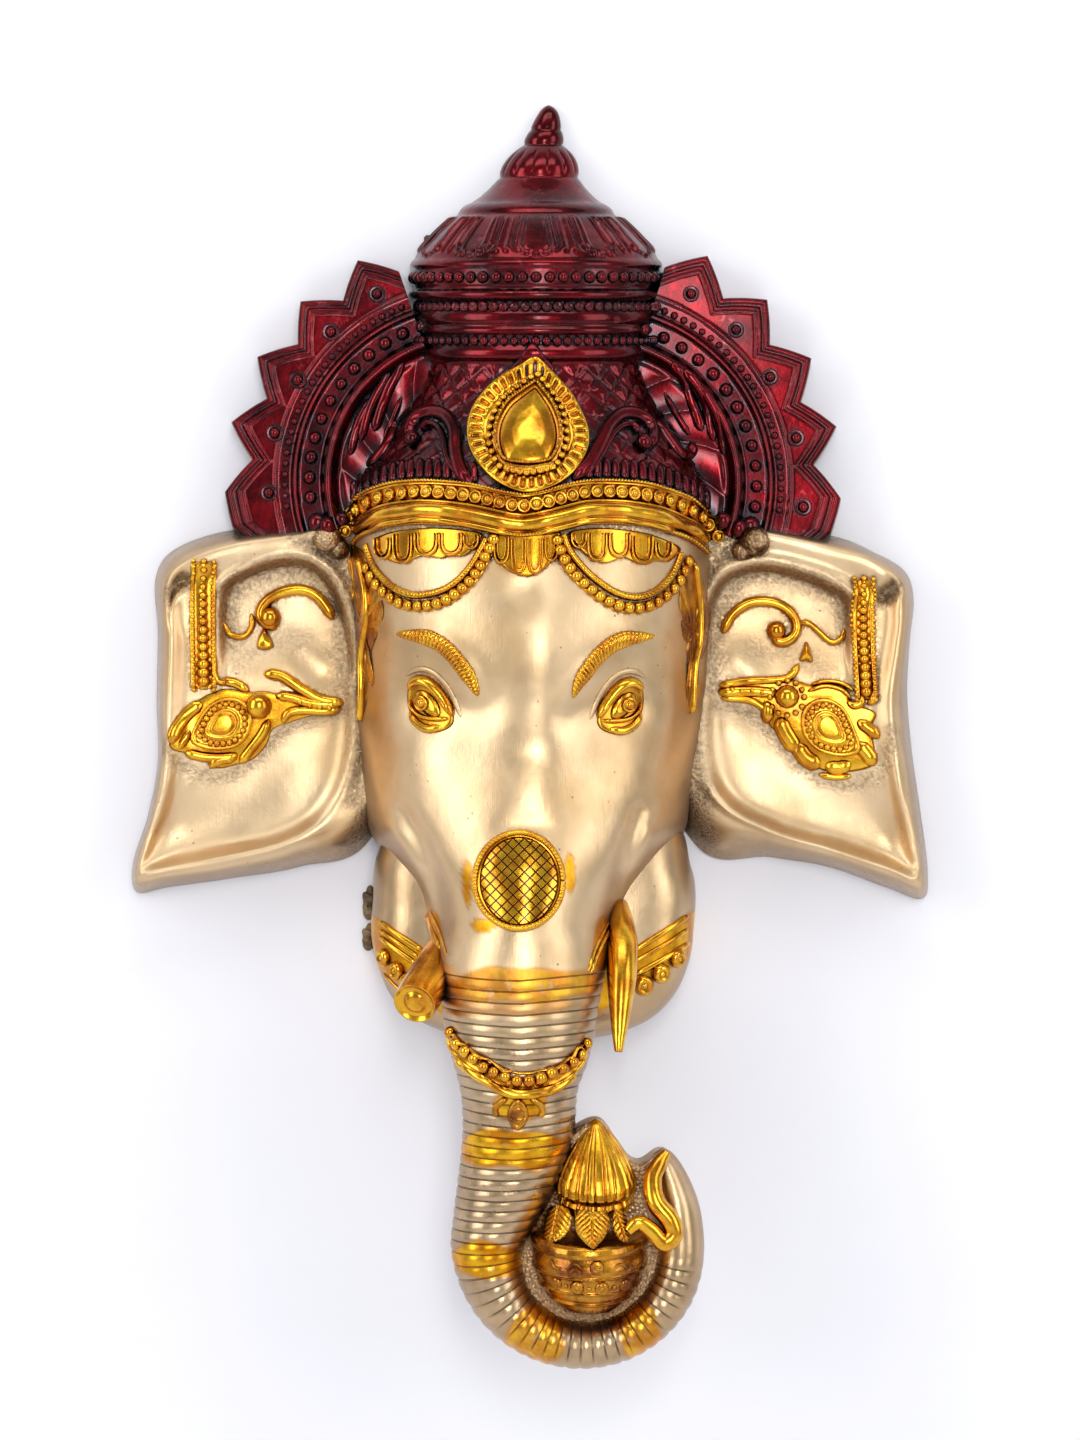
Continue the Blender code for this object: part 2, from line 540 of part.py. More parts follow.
def make_tube(name, points, radii, collection, sides=1):
    """A round bar along points in units, made as a curve with a bevel and then as a closed mesh."""
    curve = bpy.data.curves.new(name, "CURVE")
    curve.dimensions = "3D"
    curve.bevel_depth = 1.0
    curve.bevel_resolution = sides
    curve.use_fill_caps = True
    spline = curve.splines.new("POLY")
    spline.points.add(len(points) - 1)
    for spot, point, radius in zip(spline.points, points, radii):
        spot.co = (*point, 1.0)
        spot.radius = radius
    bar = bpy.data.objects.new(name, curve)
    collection.objects.link(bar)
    bm = bmesh.new()
    bm.from_mesh(bar.evaluated_get(bpy.context.evaluated_depsgraph_get()).to_mesh())
    bpy.data.objects.remove(bar)
    bpy.data.curves.remove(curve)
    return add_object(name, bm, collection)


def front_finder(things):
    """Return a function that gives how far the front of these things stands off the wall."""
    trees = []
    for thing in things:
        bm = bmesh.new()
        bm.from_mesh(thing.data)
        trees.append(BVHTree.FromBMesh(bm))
        bm.free()

    def front(x, z):
        start = Vector((x * UNIT, -HEIGHT, (z - BAR_ABOVE_LINE) * UNIT))
        hits = [tree.ray_cast(start, Vector((0, 1, 0)))[0] for tree in trees]
        heights = [-hit.y / UNIT for hit in hits if hit is not None]
        return max(heights, default=0.0)
    return front


def make_forms(prefix, inset, collection):
    """The six large forms of the casting, or of its hollow."""
    forms = [make_head_and_trunk(prefix + "head_and_trunk", inset, collection)]
    forms.append(make_crown(prefix + "crown", inset, collection))
    forms.append(make_jaw(prefix + "jaw", inset, collection))
    for side in FAN_SIDES:
        forms.append(make_fan(prefix + side + "_fan", side, inset, collection))
    for side in EAR_OUTLINES:
        forms.append(make_ear(prefix + side + "_ear", side, inset, collection))
    return forms


def add_ridges(front, collection):
    """Bars half sunk in the surface: headband, swags, brows, lids, scrolls and garland."""
    for name, (points, radius, sunk) in RIDGES.items():
        path = [(x, sunk - front(x, z), z) for x, z in points]
        make_tube(name, path, [radius] * len(path), collection)


def add_bosses(front, collection):
    """Round and oval bosses that stand out of the surface."""
    for name, ((x, z), (wide, tall, proud)) in BOSSES.items():
        make_ball(name, (x, -front(x, z), z), (wide, proud, tall), collection)


def add_fan_beads(collection):
    """The row of round beads on each fan."""
    for side, fan in FAN_SIDES.items():
        start = fan["first"] - 0.5 * fan["step"]
        sweep = fan["step"] * FAN_TEETH
        for number in range(FAN_BEADS):
            turn = math.radians(start + sweep * (number + FAN_BEAD_START) / (FAN_BEADS + FAN_BEAD_SPARE))
            place = (fan["centre"][0] + FAN_BEAD_ORBIT * math.cos(turn), -FAN_FACE,
                     fan["centre"][1] + FAN_BEAD_ORBIT * math.sin(turn))
            make_ball(f"{side}_fan_bead_{number + 1}", place, (FAN_BEAD_RADIUS,) * 3, collection)


def add_medallion(collection):
    """The drop-shaped medallion on the turban, in steps up to its boss."""
    outline = []
    for k in range(MEDALLION_SIDES):
        angle = 2 * math.pi * (k + 0.5) / MEDALLION_SIDES
        across = math.sin(angle) * math.sqrt(abs(math.sin(angle / 2))) * MEDALLION_FULLNESS
        outline.append((MEDALLION_HALF[0] * across, MEDALLION_HALF[1] * math.cos(angle)))
    make_stack("medallion", MEDALLION_CENTRE, outline, MEDALLION_RINGS, collection)


def add_mark(collection):
    """The oval mark on the trunk root, with a raised rim and a sunk face."""
    outline = []
    for k in range(MEDALLION_SIDES):
        angle = 2 * math.pi * k / MEDALLION_SIDES
        outline.append((MARK_RADII[0] * math.cos(angle), MARK_RADII[1] * math.sin(angle)))
    make_stack("oval_mark", MARK_CENTRE, outline, MARK_RINGS, collection, MARK_TILT)


def add_offering(collection):
    """The pot, leaves and coconut that the curl holds, with the web that carries them."""
    make_stack("web", (0.0, 0.0), WEB_OUTLINE, [(1.0, WEB_BACK), (1.0, WEB_FRONT)], collection)
    turned("pot", POT_PROFILE, (POT_CENTRE, OFFERING_AXIS), OFFERING_STEPS, 1.0, collection)
    turned("coconut", COCONUT_PROFILE, (COCONUT_CENTRE, OFFERING_AXIS), OFFERING_STEPS, 1.0, collection)
    for number, (x, z, turn) in enumerate(LEAVES):
        radii = (LEAF_RADII[0], LEAF_RADII[2], LEAF_RADII[1])
        make_ball(f"leaf_{number + 1}", (x, -LEAF_AXIS, z), radii, collection, turn)
    make_tube("trunk_lip", [(x, -y, z) for x, z, y, _ in LIP], [r for *_, r in LIP], collection)


def add_tusks(collection):
    """The broken stub on the left and the whole tusk on the right."""
    for name, points in TUSKS.items():
        path = smooth_path(points, 2)
        make_tube(name, [(x, -y, z) for x, z, y, _ in path], [r for *_, r in path], collection, 2)


def add_flash(collection):
    """Two ragged flakes of metal left from the casting behind the jaw."""
    for number, ((x, z), (wide, deep, tall)) in enumerate(FLASH_FLAKES):
        make_ball(f"flash_{number + 1}", (x, -deep, z), (wide / 2, deep / 2, tall / 2), collection,
                  FLASH_TURN)


def make_block(name, low, high, collection):
    """A box from one corner to the other, in units."""
    bm = bmesh.new()
    bmesh.ops.create_cube(bm, size=1.0)
    for vert in bm.verts:
        vert.co = tuple(a + (b - a) * (c + 0.5) for a, b, c in zip(low, high, vert.co))
    return add_object(name, bm, collection)


def make_bar(collection):
    """The hanging bar, as the part of the crown's hollow that stays filled."""
    half = crown_radius(BAR_ABOVE_LINE) + BEHIND
    low = BAR_ABOVE_LINE - BAR_HEIGHT / UNIT / 2
    return make_block("hanging_bar", (-half, -BAR_THICKNESS / UNIT, low),
                      (half, 2 * half, low + BAR_HEIGHT / UNIT), collection)


def add_boolean(thing, name, operation, collection):
    """Join a whole collection to the object, or cut it from the object."""
    boolean = thing.modifiers.new(name, "BOOLEAN")
    boolean.operation = operation
    boolean.solver = "EXACT"
    boolean.operand_type = "COLLECTION"
    boolean.collection = collection


def brass_material():
    """Cast brass, rough from the mould."""
    material = bpy.data.materials.new("cast_brass")
    material.use_nodes = True
    shader = material.node_tree.nodes["Principled BSDF"]
    shader.inputs["Base Color"].default_value = BRASS
    shader.inputs["Metallic"].default_value = 1.0
    shader.inputs["Roughness"].default_value = BRASS_ROUGHNESS
    return material


def main():
    """Build the casting: join its forms, cut it flat at the wall, hollow it and add the bar."""
    for thing in list(bpy.data.objects):
        bpy.data.objects.remove(thing)
    casting = new_collection("ganesha_wall_hanging")
    forms = new_collection("outer_forms", cutters=True)
    hollow = new_collection("hollow", cutters=True)
    wall = new_collection("wall_plane", cutters=True)
    bars = new_collection("bars", cutters=True)

    outer = make_forms("", 0.0, forms)
    front = front_finder(outer)
    add_medallion(forms)
    add_mark(forms)
    add_ridges(front, forms)
    add_bosses(front, forms)
    add_fan_beads(forms)
    add_offering(forms)
    add_tusks(forms)
    add_flash(forms)
    crown_hollow = make_forms("hollow_", WALL_UNITS, hollow)[1]
    reach = HEIGHT / UNIT
    make_block("behind_the_wall", (-reach, 0.0, -reach), (reach, reach, reach), wall)
    make_bar(bars)
    add_boolean(crown_hollow, "bar", "DIFFERENCE", bars)

    mask = outer[0]
    forms.objects.unlink(mask)
    casting.objects.link(mask)
    mask.name = "ganesha_mask"
    mask.hide_render = False
    mask.display_type = "TEXTURED"
    mask.data.materials.append(brass_material())
    add_boolean(mask, "forms", "UNION", forms)
    add_boolean(mask, "hollow", "DIFFERENCE", hollow)
    add_boolean(mask, "wall", "DIFFERENCE", wall)


main()
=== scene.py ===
# %% [markdown]
# # A cast brass wall hanging in the shape of an elephant deity's head
# The real object is one brass casting, hollow behind, chased by hand and then tinted with lacquer:
# pale satin brass for the skin, yellow lacquer on the jewels and deep red on the crown.
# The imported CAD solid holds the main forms. Here a finer set of the same forms takes its place.

# %% Load the casting
import math

import bmesh
import bpy
import numpy as np
from mathutils import Matrix, Vector
from mathutils.bvhtree import BVHTree


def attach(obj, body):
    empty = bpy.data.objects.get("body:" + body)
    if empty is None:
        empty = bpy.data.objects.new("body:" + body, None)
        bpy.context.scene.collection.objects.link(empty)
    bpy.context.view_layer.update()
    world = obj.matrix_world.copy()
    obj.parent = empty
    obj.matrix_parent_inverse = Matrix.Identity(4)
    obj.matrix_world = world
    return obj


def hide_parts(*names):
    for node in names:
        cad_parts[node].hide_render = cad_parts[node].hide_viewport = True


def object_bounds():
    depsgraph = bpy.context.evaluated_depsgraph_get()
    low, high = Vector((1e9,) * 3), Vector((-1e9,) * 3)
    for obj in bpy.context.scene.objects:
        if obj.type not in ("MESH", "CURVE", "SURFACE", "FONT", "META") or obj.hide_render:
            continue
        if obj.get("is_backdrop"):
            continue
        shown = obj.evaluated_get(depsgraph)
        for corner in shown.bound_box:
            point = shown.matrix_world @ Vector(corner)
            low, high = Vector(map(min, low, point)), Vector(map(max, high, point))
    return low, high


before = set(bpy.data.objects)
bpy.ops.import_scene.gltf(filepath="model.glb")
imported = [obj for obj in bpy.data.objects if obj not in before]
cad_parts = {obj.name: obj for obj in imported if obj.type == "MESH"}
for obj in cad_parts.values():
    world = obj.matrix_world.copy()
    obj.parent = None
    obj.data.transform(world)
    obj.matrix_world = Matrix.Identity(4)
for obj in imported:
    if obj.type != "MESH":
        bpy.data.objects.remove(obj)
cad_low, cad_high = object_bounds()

print("CAD box in mm", [round(1000 * c) for c in (*cad_low, *cad_high)])

# %% [markdown]
# The photograph was taken square on, so one pixel is the same length all over a plane that faces
# the camera. With that, a place seen in the photograph becomes a ray that meets the model. All
# shapes are drawn in millimetres and made metres when a piece is finished.

# %% From a pixel to a place
MM = 0.001
PHOTO_CENTRE = (540.0, 720.0)
EYE = (4.5, -1800.0, -237.0)
PIXEL = 0.5
LINE_BELOW_BAR = 42.0


def pixels_of(points):
    """Photo pixel of each point in millimetres."""
    size = PIXEL * (points[:, 1] - EYE[1]) / -EYE[1]
    return (PHOTO_CENTRE[0] + (points[:, 0] - EYE[0]) / size,
            PHOTO_CENTRE[1] - (points[:, 2] - EYE[2]) / size)


def place_of(px, py, height):
    """Point in millimetres seen at a pixel, at a height off the wall."""
    size = PIXEL * (-EYE[1] - height) / -EYE[1]
    return (EYE[0] + (px - PHOTO_CENTRE[0]) * size, -height, EYE[2] - (py - PHOTO_CENTRE[1]) * size)


print("the trunk's curl is centred at", [round(v) for v in place_of(582, 1247, 85)])

# %% [markdown]
# A few numbers give a form its main stations, and a smooth curve runs through them. The same
# helper serves outlines, paths and lofted sections.

# %% Smooth curves through a few points
def smooth(points, where, closed=False):
    """Catmull-Rom curve through points, read at places counted in points from the first."""
    points = np.asarray(points, float)
    count = len(points)
    where = np.asarray(where, float)
    where = where % count if closed else np.clip(where, 0, count - 1)
    start = np.floor(where).astype(int)
    if not closed:
        start = np.minimum(start, count - 2)
    t = (where - start)[..., None]
    near = [start + k for k in (-1, 0, 1, 2)]
    a, b, c, d = (points[n % count if closed else np.clip(n, 0, count - 1)] for n in near)
    return 0.5 * (2 * b + (c - a) * t + (2 * a - 5 * b + 4 * c - d) * t ** 2
                  + (3 * b - a - 3 * c + d) * t ** 3)


def evenly(points, steps, closed=False):
    """The same curve as points an equal distance apart."""
    ends = len(points) if closed else len(points) - 1
    where = np.linspace(0, ends, 24 * ends + 1)
    fine = smooth(points, where, closed)
    gone = np.concatenate([[0], np.cumsum(np.linalg.norm(np.diff(fine, axis=0), axis=1))])
    places = np.interp(np.linspace(0, gone[-1], steps + 1), gone, where)
    return smooth(points, places[:-1] if closed else places, closed)


def distance_to(path, x, y):
    """Distance of each spot from a line of points, and how far along the line it is, 0 to 1."""
    best = np.full(len(x), 1e9)
    along = np.zeros(len(x))
    for k, (one, other) in enumerate(zip(path, path[1:])):
        way = other - one
        share = np.clip(((x - one[0]) * way[0] + (y - one[1]) * way[1]) / max(way @ way, 1e-9), 0, 1)
        gap = np.hypot(x - one[0] - share * way[0], y - one[1] - share * way[1])
        along = np.where(gap < best, (k + share) / (len(path) - 1), along)
        best = np.minimum(best, gap)
    return best, along


def depth_inside(outline, x, y):
    """How deep each spot lies inside a closed outline; less than 0 outside it."""
    ring = np.vstack([outline, outline[:1]])
    gap, _ = distance_to(ring, x, y)
    crossed = np.zeros(len(x), bool)
    for one, other in zip(ring, ring[1:]):
        spans = (one[1] > y) != (other[1] > y)
        rise = other[1] - one[1] if other[1] != one[1] else 1e-9
        crossed ^= spans & (x < one[0] + (y - one[1]) * (other[0] - one[0]) / rise)
    return np.where(crossed, gap, -gap)


def hill(distance, width):
    """A smooth bump: 1 on the line and fading over the width."""
    return np.exp(-(distance / width) ** 2)


def step(low, high, value):
    """0 below low, 1 above high, smooth between."""
    t = np.clip((value - low) / (high - low), 0, 1)
    return t * t * (3 - 2 * t)


# %% [markdown]
# Every skin starts as a flat grid, which is then folded into place: a tube for the trunk, a disc
# for an ear. Its seam is merged and its open ends are filled, so that it is a closed solid.

# %% Fold a grid into a form
def fold(name, across, along, shape, fields=None):
    """A closed mesh in metres from a grid whose corners (u, v) from 0 to 1 go where shape says."""
    bm = bmesh.new()
    bmesh.ops.create_grid(bm, x_segments=across, y_segments=along, size=1.0)
    flat = np.array([vert.co[:2] for vert in bm.verts]) / 2 + 0.5
    points = shape(flat[:, 0], flat[:, 1])
    values = fields(points, flat[:, 0], flat[:, 1]) if fields else {}
    layers = [(bm.verts.layers.float.new(key), value) for key, value in values.items()]
    for number, (vert, point) in enumerate(zip(bm.verts, points)):
        vert.co = Vector(point) * MM
        for layer, value in layers:
            vert[layer] = float(value[number])
    bmesh.ops.remove_doubles(bm, verts=bm.verts, dist=1e-6)
    bmesh.ops.holes_fill(bm, edges=[edge for edge in bm.edges if edge.is_boundary], sides=0)
    bmesh.ops.recalc_face_normals(bm, faces=bm.faces)
    for face in bm.faces:
        face.smooth = True
    return as_object(name, bm)


def as_object(name, bm):
    """Keep a bmesh as an object at the origin."""
    mesh = bpy.data.meshes.new(name)
    bm.to_mesh(mesh)
    bm.free()
    thing = bpy.data.objects.new(name, mesh)
    bpy.context.scene.collection.objects.link(thing)
    return thing


# %% [markdown]
# ## Head and trunk
# Level sections from the brow down to the trunk, then sections that turn round the curl. Each has
# a centre, the turn of its width, its half width, and how far its front, widest line and back
# stand off the wall.

# %% Sections of the head and trunk
HEAD = [
    (-44.0, 0.0, 44.0, 40.0, 0.0, -6.0), (-72.0, 0.0, 66.0, 62.0, 0.0, -6.0),
    (-86.8, 0.0, 88.0, 83.0, 0.0, -6.0), (-106.5, 0.0, 91.4, 86.0, 0.0, -6.0),
    (-136.0, 0.0, 90.5, 92.0, 0.0, -6.0), (-165.5, 0.0, 89.5, 94.0, 0.0, -6.0),
    (-188.0, -0.4, 88.2, 93.0, 0.0, -6.0), (-209.0, -1.2, 85.5, 93.0, 0.0, -6.0),
    (-231.4, -1.9, 82.6, 96.0, 0.0, -6.0), (-249.1, -1.9, 79.0, 101.0, 0.0, -6.0),
    (-262.0, -2.2, 70.0, 105.5, 2.0, -6.0), (-275.0, -2.7, 56.5, 109.0, 14.0, -6.0),
    (-288.4, -3.4, 48.2, 113.0, 34.0, -6.0), (-301.0, -3.7, 44.7, 116.0, 60.0, 14.0),
    (-314.5, -4.6, 41.1, 118.0, 76.0, 36.0), (-328.4, -4.8, 37.9, 119.0, 82.0, 48.0),
    (-342.5, -5.0, 36.0, 119.0, 85.0, 54.0), (-356.6, -4.8, 32.4, 118.0, 87.0, 57.0),
    (-371.0, -5.5, 28.0, 116.0, 87.0, 59.0), (-385.4, -5.5, 26.9, 113.0, 86.0, 60.0),
    (-399.8, -6.9, 26.2, 111.0, 85.0, 60.0), (-416.6, -10.7, 24.3, 109.0, 84.5, 60.0),
    (-432.0, -15.9, 21.0, 107.0, 84.0, 60.0)]
CURL_CENTRE = (25.4, -446.0)
CURL_RADIUS = 45.8
CURL_MIDDLE = 84.0
CURL = [
    (182, 17.4, 22.0), (203, 15.6, 21.0), (224, 14.0, 20.0), (246, 12.8, 19.0), (268, 12.0, 18.5),
    (290, 11.8, 18.0), (312, 11.8, 17.5), (334, 11.9, 17.0), (356, 11.6, 16.5)]
TIP = [
    (70.4, -430.0, 10.8, 15.5, 363), (67.4, -416.0, 8.8, 13.5, 372), (63.4, -405.0, 6.0, 10.0, 384),
    (60.8, -399.8, 2.6, 5.0, 390)]
FRONT_SHARE = 0.7


def spine(inset, behind):
    """Stations along the spine: x, z, turn, half width, front, widest line and back."""
    rows = [(x, z, 180.0, half - inset, front - inset, middle, back - behind)
            for z, x, half, front, middle, back in HEAD]
    for angle, half, deep in CURL:
        turn = math.radians(angle)
        rows.append((CURL_CENTRE[0] + CURL_RADIUS * math.cos(turn), CURL_CENTRE[1] + CURL_RADIUS * math.sin(turn),
                     angle, half - inset, CURL_MIDDLE + deep - inset, CURL_MIDDLE, CURL_MIDDLE - deep - behind))
    rows += [(x, z, turn, half, CURL_MIDDLE + deep, CURL_MIDDLE, CURL_MIDDLE - deep)
             for x, z, half, deep, turn in TIP]
    return np.array(rows)


def round_section(rows, u):
    """Point, outward way and front share of each spot round its section."""
    turn = np.radians(rows[:, 2])
    angle = np.where(u < FRONT_SHARE, u / FRONT_SHARE, 1 + (u - FRONT_SHARE) / (1 - FRONT_SHARE)) * math.pi
    across, out = np.cos(angle), np.sin(angle)
    reach = np.where(out > 0, rows[:, 4] - rows[:, 5], rows[:, 5] - rows[:, 6])
    points = np.stack([
        rows[:, 0] + np.cos(turn) * rows[:, 3] * across,
        -rows[:, 5] - reach * out,
        rows[:, 1] + np.sin(turn) * rows[:, 3] * across - LINE_BELOW_BAR], axis=1)
    sideways = across * np.maximum(reach, 1.0)
    outward = out * np.maximum(rows[:, 3], 1.0)
    size = np.hypot(sideways, outward)
    ways = np.stack([np.cos(turn) * sideways, -outward, np.sin(turn) * sideways], axis=1) / size[:, None]
    return points, ways, out


stations = spine(0.0, 0.0)
station_length = np.concatenate([[0], np.cumsum(np.hypot(*np.diff(stations[:, :2], axis=0).T))])
print("the spine is", round(station_length[-1]), "mm long in", len(stations), "stations")

# %% [markdown]
# The face is beaten out of the plain loft: sunken eye sockets, brow bones, cheeks and a swelling
# where the trunk starts. Each form is a soft hill or hollow placed by the photograph, which keeps
# the metal smooth. Rolls along the trunk follow its length.

# %% Hills and hollows of the face
FACE = {
    "left socket": (430, 706, 36, 27, -6.0), "right socket": (620, 708, 36, 27, -6.0),
    "left inner corner": (470, 724, 26, 36, -2.2), "right inner corner": (584, 726, 26, 36, -2.2),
    "left brow end": (486, 702, 17, 22, -1.5), "right brow end": (569, 706, 16, 22, -1.5),
    "nose ridge": (540, 690, 30, 84, 2.4),
    "left cheek bone": (408, 768, 34, 34, 3.0), "right cheek bone": (648, 772, 34, 34, 3.0),
    "left temple": (366, 668, 15, 60, -3.0), "right temple": (692, 668, 15, 60, -3.0),
    "bridge dip": (524, 750, 50, 18, -0.9), "muzzle": (530, 800, 60, 36, 2.5),
    "smudge hollow": (528, 824, 26, 12, -1.4), "forehead": (540, 640, 70, 42, 2.5),
    "forehead notch": (528, 590, 16, 20, -1.6),
    "left jowl": (392, 820, 30, 30, 2.5), "right jowl": (668, 820, 30, 30, 2.5)}
CREASES = {
    "left root fold": ([(404, 812), (424, 846), (436, 880), (442, 914), (440, 948)], 9.0, -3.4),
    "left root lip": ([(392, 830), (410, 858), (424, 890), (430, 922)], 7.0, 2.2),
    "right root fold": ([(640, 812), (626, 850), (618, 884), (610, 920), (600, 950)], 9.0, -3.4),
    "right root lip": ([(650, 834), (638, 866), (628, 900), (622, 930)], 7.0, 2.0),
    "left brow bone": ([(396, 634), (430, 637), (456, 655), (474, 690)], 13.0, 2.6),
    "right brow bone": ([(656, 640), (626, 640), (598, 658), (566, 700)], 13.0, 2.6),
    "left cheek edge": ([(350, 690), (372, 770), (384, 830)], 10.0, 1.6),
    "right cheek edge": ([(706, 690), (696, 770), (682, 836)], 10.0, 1.6)}
ROLL = 5.35
ROLLS_FROM = 271.0
ROLL_HEIGHT = 0.75


def spine_places(v):
    """Station number for each share of the rows, with finer rows along the trunk."""
    fine = np.linspace(0, len(stations) - 1, 2000)
    length = np.interp(fine, np.arange(len(stations)), station_length)
    rows = np.where(length < ROLLS_FROM - 10, length / 2.0, (ROLLS_FROM - 10) / 2.0 + (length - ROLLS_FROM + 10) / 0.92)
    return np.interp(v * rows[-1], rows, fine)


def hand_wobble(x, y, size, seed):
    """A slow even wobble from -1 to 1, as a hand leaves it."""
    return (np.sin(x / size + seed) + np.sin(y / size * 1.31 + 2.1 * seed)
            + np.sin((x + y) / size * 0.73 + 3.7 * seed)) / 3


def roll_places(points, where, out, across):
    """How many rolls down the trunk each spot lies."""
    length = np.interp(where, np.arange(len(stations)), station_length)
    sag = 2.4 * (1 - np.abs(across)) * step(ROLLS_FROM + 150, ROLLS_FROM + 20, length)
    return (length - ROLLS_FROM - sag + 0.7 * hand_wobble(points[:, 0], length, 11.0, 0.4)) / ROLL


def head_shape(u, v):
    where = spine_places(v)
    points, ways, out = round_section(smooth(stations, where), u)
    px, py = pixels_of(points)
    front = step(0.1, 0.5, out)
    rise = np.zeros(len(px))
    for x, y, wide, tall, height in FACE.values():
        rise += height * np.exp(-((px - x) / wide) ** 2 - ((py - y) / tall) ** 2)
    for path, wide, height in CREASES.values():
        gap, _ = distance_to(evenly(path, 12), px, py)
        rise += height * hill(gap, wide)
    above_trunk = step(1010, 960, py)
    points[:, 1] -= rise * front * above_trunk
    rolls = roll_places(points, where, out, np.cos(np.pi * np.minimum(u / FRONT_SHARE, 1)))
    profile = np.abs(np.sin(np.pi * rolls)) ** 0.55 - 0.75
    strength = step(-0.5, 1.0, rolls) * step(-0.35, 0.1, out) * (1 - step(48.0, 52.0, rolls))
    return points + ways * (profile * strength * ROLL_HEIGHT)[:, None]


print(len(FACE), "hills and hollows and", len(CREASES), "creases on the face")

# %% [markdown]
# Lacquer, dirt and painted shade follow the form, so each skin carries them as attributes: how much
# yellow lacquer lies on a spot, where the engraved lines run, and where tarnish, dirt and painted
# shade darken it. The materials read them later.

# %% Yellow lacquer brushed on the trunk and round the mark
GOLD_PATCHES = [
    (520, 985, 92, 17, 0.9), (500, 1005, 80, 12, 0.55), (510, 1150, 58, 20, 1.0),
    (486, 1259, 40, 20, 1.0), (505, 1262, 20, 16, 0.7), (535, 1338, 34, 30, 0.9),
    (560, 1310, 14, 26, 0.7), (640, 1336, 22, 30, 0.9), (624, 1318, 12, 24, 0.6), (467, 884, 6, 26, 1.0),
    (570, 872, 6, 24, 1.0), (484, 926, 12, 6, 1.0),
    (434, 934, 8, 24, 0.9), (603, 944, 9, 26, 0.9), (395, 598, 20, 10, 0.35), (520, 560, 26, 14, 0.5),
    (519, 1106, 28, 17, 1.0), (640, 972, 14, 12, 0.5)]


def gold_on(px, py):
    """Share of yellow lacquer at a photo pixel."""
    share = np.zeros(len(px))
    wander = 1 + 0.25 * hand_wobble(px, py, 9.0, 1.3)
    for x, y, wide, tall, most in GOLD_PATCHES:
        inside = 1 - step(0.84, 1.08, np.hypot((px - x) / wide, (py - y) / tall) * wander)
        share = np.maximum(share, inside * most)
    return share


def head_fields(points, u, v):
    px, py = pixels_of(points)
    where = spine_places(v)
    _, _, out = round_section(smooth(stations, where), u)
    rolls = roll_places(points, where, out, np.cos(np.pi * np.minimum(u / FRONT_SHARE, 1)))
    length = np.interp(where, np.arange(len(stations)), station_length)
    across = np.cos(np.pi * np.minimum(u / FRONT_SHARE, 1))
    on_curl = step(395, 440, length)
    inner = 1 - on_curl * step(0.15, 0.75, across)
    drawn = step(-0.3, 0.1, rolls) * (1 - step(50.3, 50.8, rolls)) * inner
    tarnish_and_shade = step(-1.0, 8.0, rolls) * (1 - 0.6 * step(49.0, 53.0, rolls))
    return {"rolls": rolls, "drawn": drawn, "gold": gold_on(px, py), "tarnish_and_shade": tarnish_and_shade}


# %% [markdown]
# ## Crown
# The crown is turned: a finial drop, a lobed bulb, a flaring cone over a petalled dome, and a
# stack of rings above the wrapped turban. Petals, lobes and the turban's diamonds are pressed
# into the turned form.

# %% Profile of the crown
CROWN_PROFILE = [
    (0.0, 112.5), (2.2, 111.6), (3.9, 110.0), (5.2, 108.0), (6.5, 105.0), (7.4, 102.0), (7.6, 100.5),
    (7.1, 99.9), (8.2, 99.3), (9.2, 97.2), (9.9, 94.8), (9.8, 93.2), (9.0, 92.4), (10.6, 91.8),
    (12.9, 90.0), (15.4, 87.5), (17.3, 85.0), (18.9, 82.0), (19.7, 79.0), (19.8, 77.2), (19.0, 76.2),
    (20.4, 75.2), (22.6, 72.5), (24.8, 70.0), (27.4, 67.5), (30.3, 65.0), (32.6, 63.4), (34.8, 62.6),
    (37.4, 60.8), (38.8, 58.8), (39.0, 57.6), (40.4, 56.8), (43.2, 55.0), (46.0, 52.5), (48.6, 50.0),
    (51.2, 47.5), (53.4, 45.0), (56.0, 42.5), (58.2, 40.0), (60.0, 37.5), (60.6, 35.6), (62.4, 34.2),
    (63.4, 31.8), (61.6, 30.6), (62.0, 29.2), (62.2, 22.6), (61.0, 20.6), (63.6, 19.2), (64.2, 17.0),
    (62.8, 15.4), (60.6, 14.2), (60.4, 10.8), (62.0, 9.2), (62.8, 6.6), (62.2, 4.0), (60.4, 2.6),
    (61.8, 1.4), (62.4, -0.4), (60.6, -1.8), (59.6, -3.4), (59.6, -6.8), (60.8, -8.4), (61.8, -10.6),
    (61.0, -13.2), (58.6, -14.8), (57.8, -17.0), (59.6, -24.0), (63.6, -33.0), (68.5, -42.0),
    (78.6, -58.0), (85.5, -68.0), (90.6, -77.0), (92.0, -84.0), (90.0, -93.0), (0.0, -96.0)]
CROWN_DEPTH = 0.93
CROWN_FRONT_SHARE = 0.74
crown_path = np.array(CROWN_PROFILE)
crown_run = np.concatenate([[0], np.cumsum(np.hypot(*np.diff(crown_path, axis=0).T))])
CROWN_SHOWN = float(np.interp(94.0, -crown_path[:, 1], crown_run))


def crown_lean(height):
    """How far the crown's middle moves across at a height above the line."""
    return 2.6 * np.clip((height + 80) / 80, 0, 1) + 6.2 * np.clip((height - 62) / 46.5, 0, 1) ** 1.3


CROWN_STOOP = 0.115
CROWN_PETALS = 11
CROWN_PETAL_TOP = 56.4
CROWN_PETAL_TALL = 20.4


def crown_point(angle, radius, height):
    """Point of the turned crown, which leans at its tip and stoops a little towards the room."""
    off_wall = radius * CROWN_DEPTH * np.cos(angle)
    return np.stack([radius * np.sin(angle) + crown_lean(height), -off_wall,
                     height - LINE_BELOW_BAR - CROWN_STOOP * off_wall], axis=1)


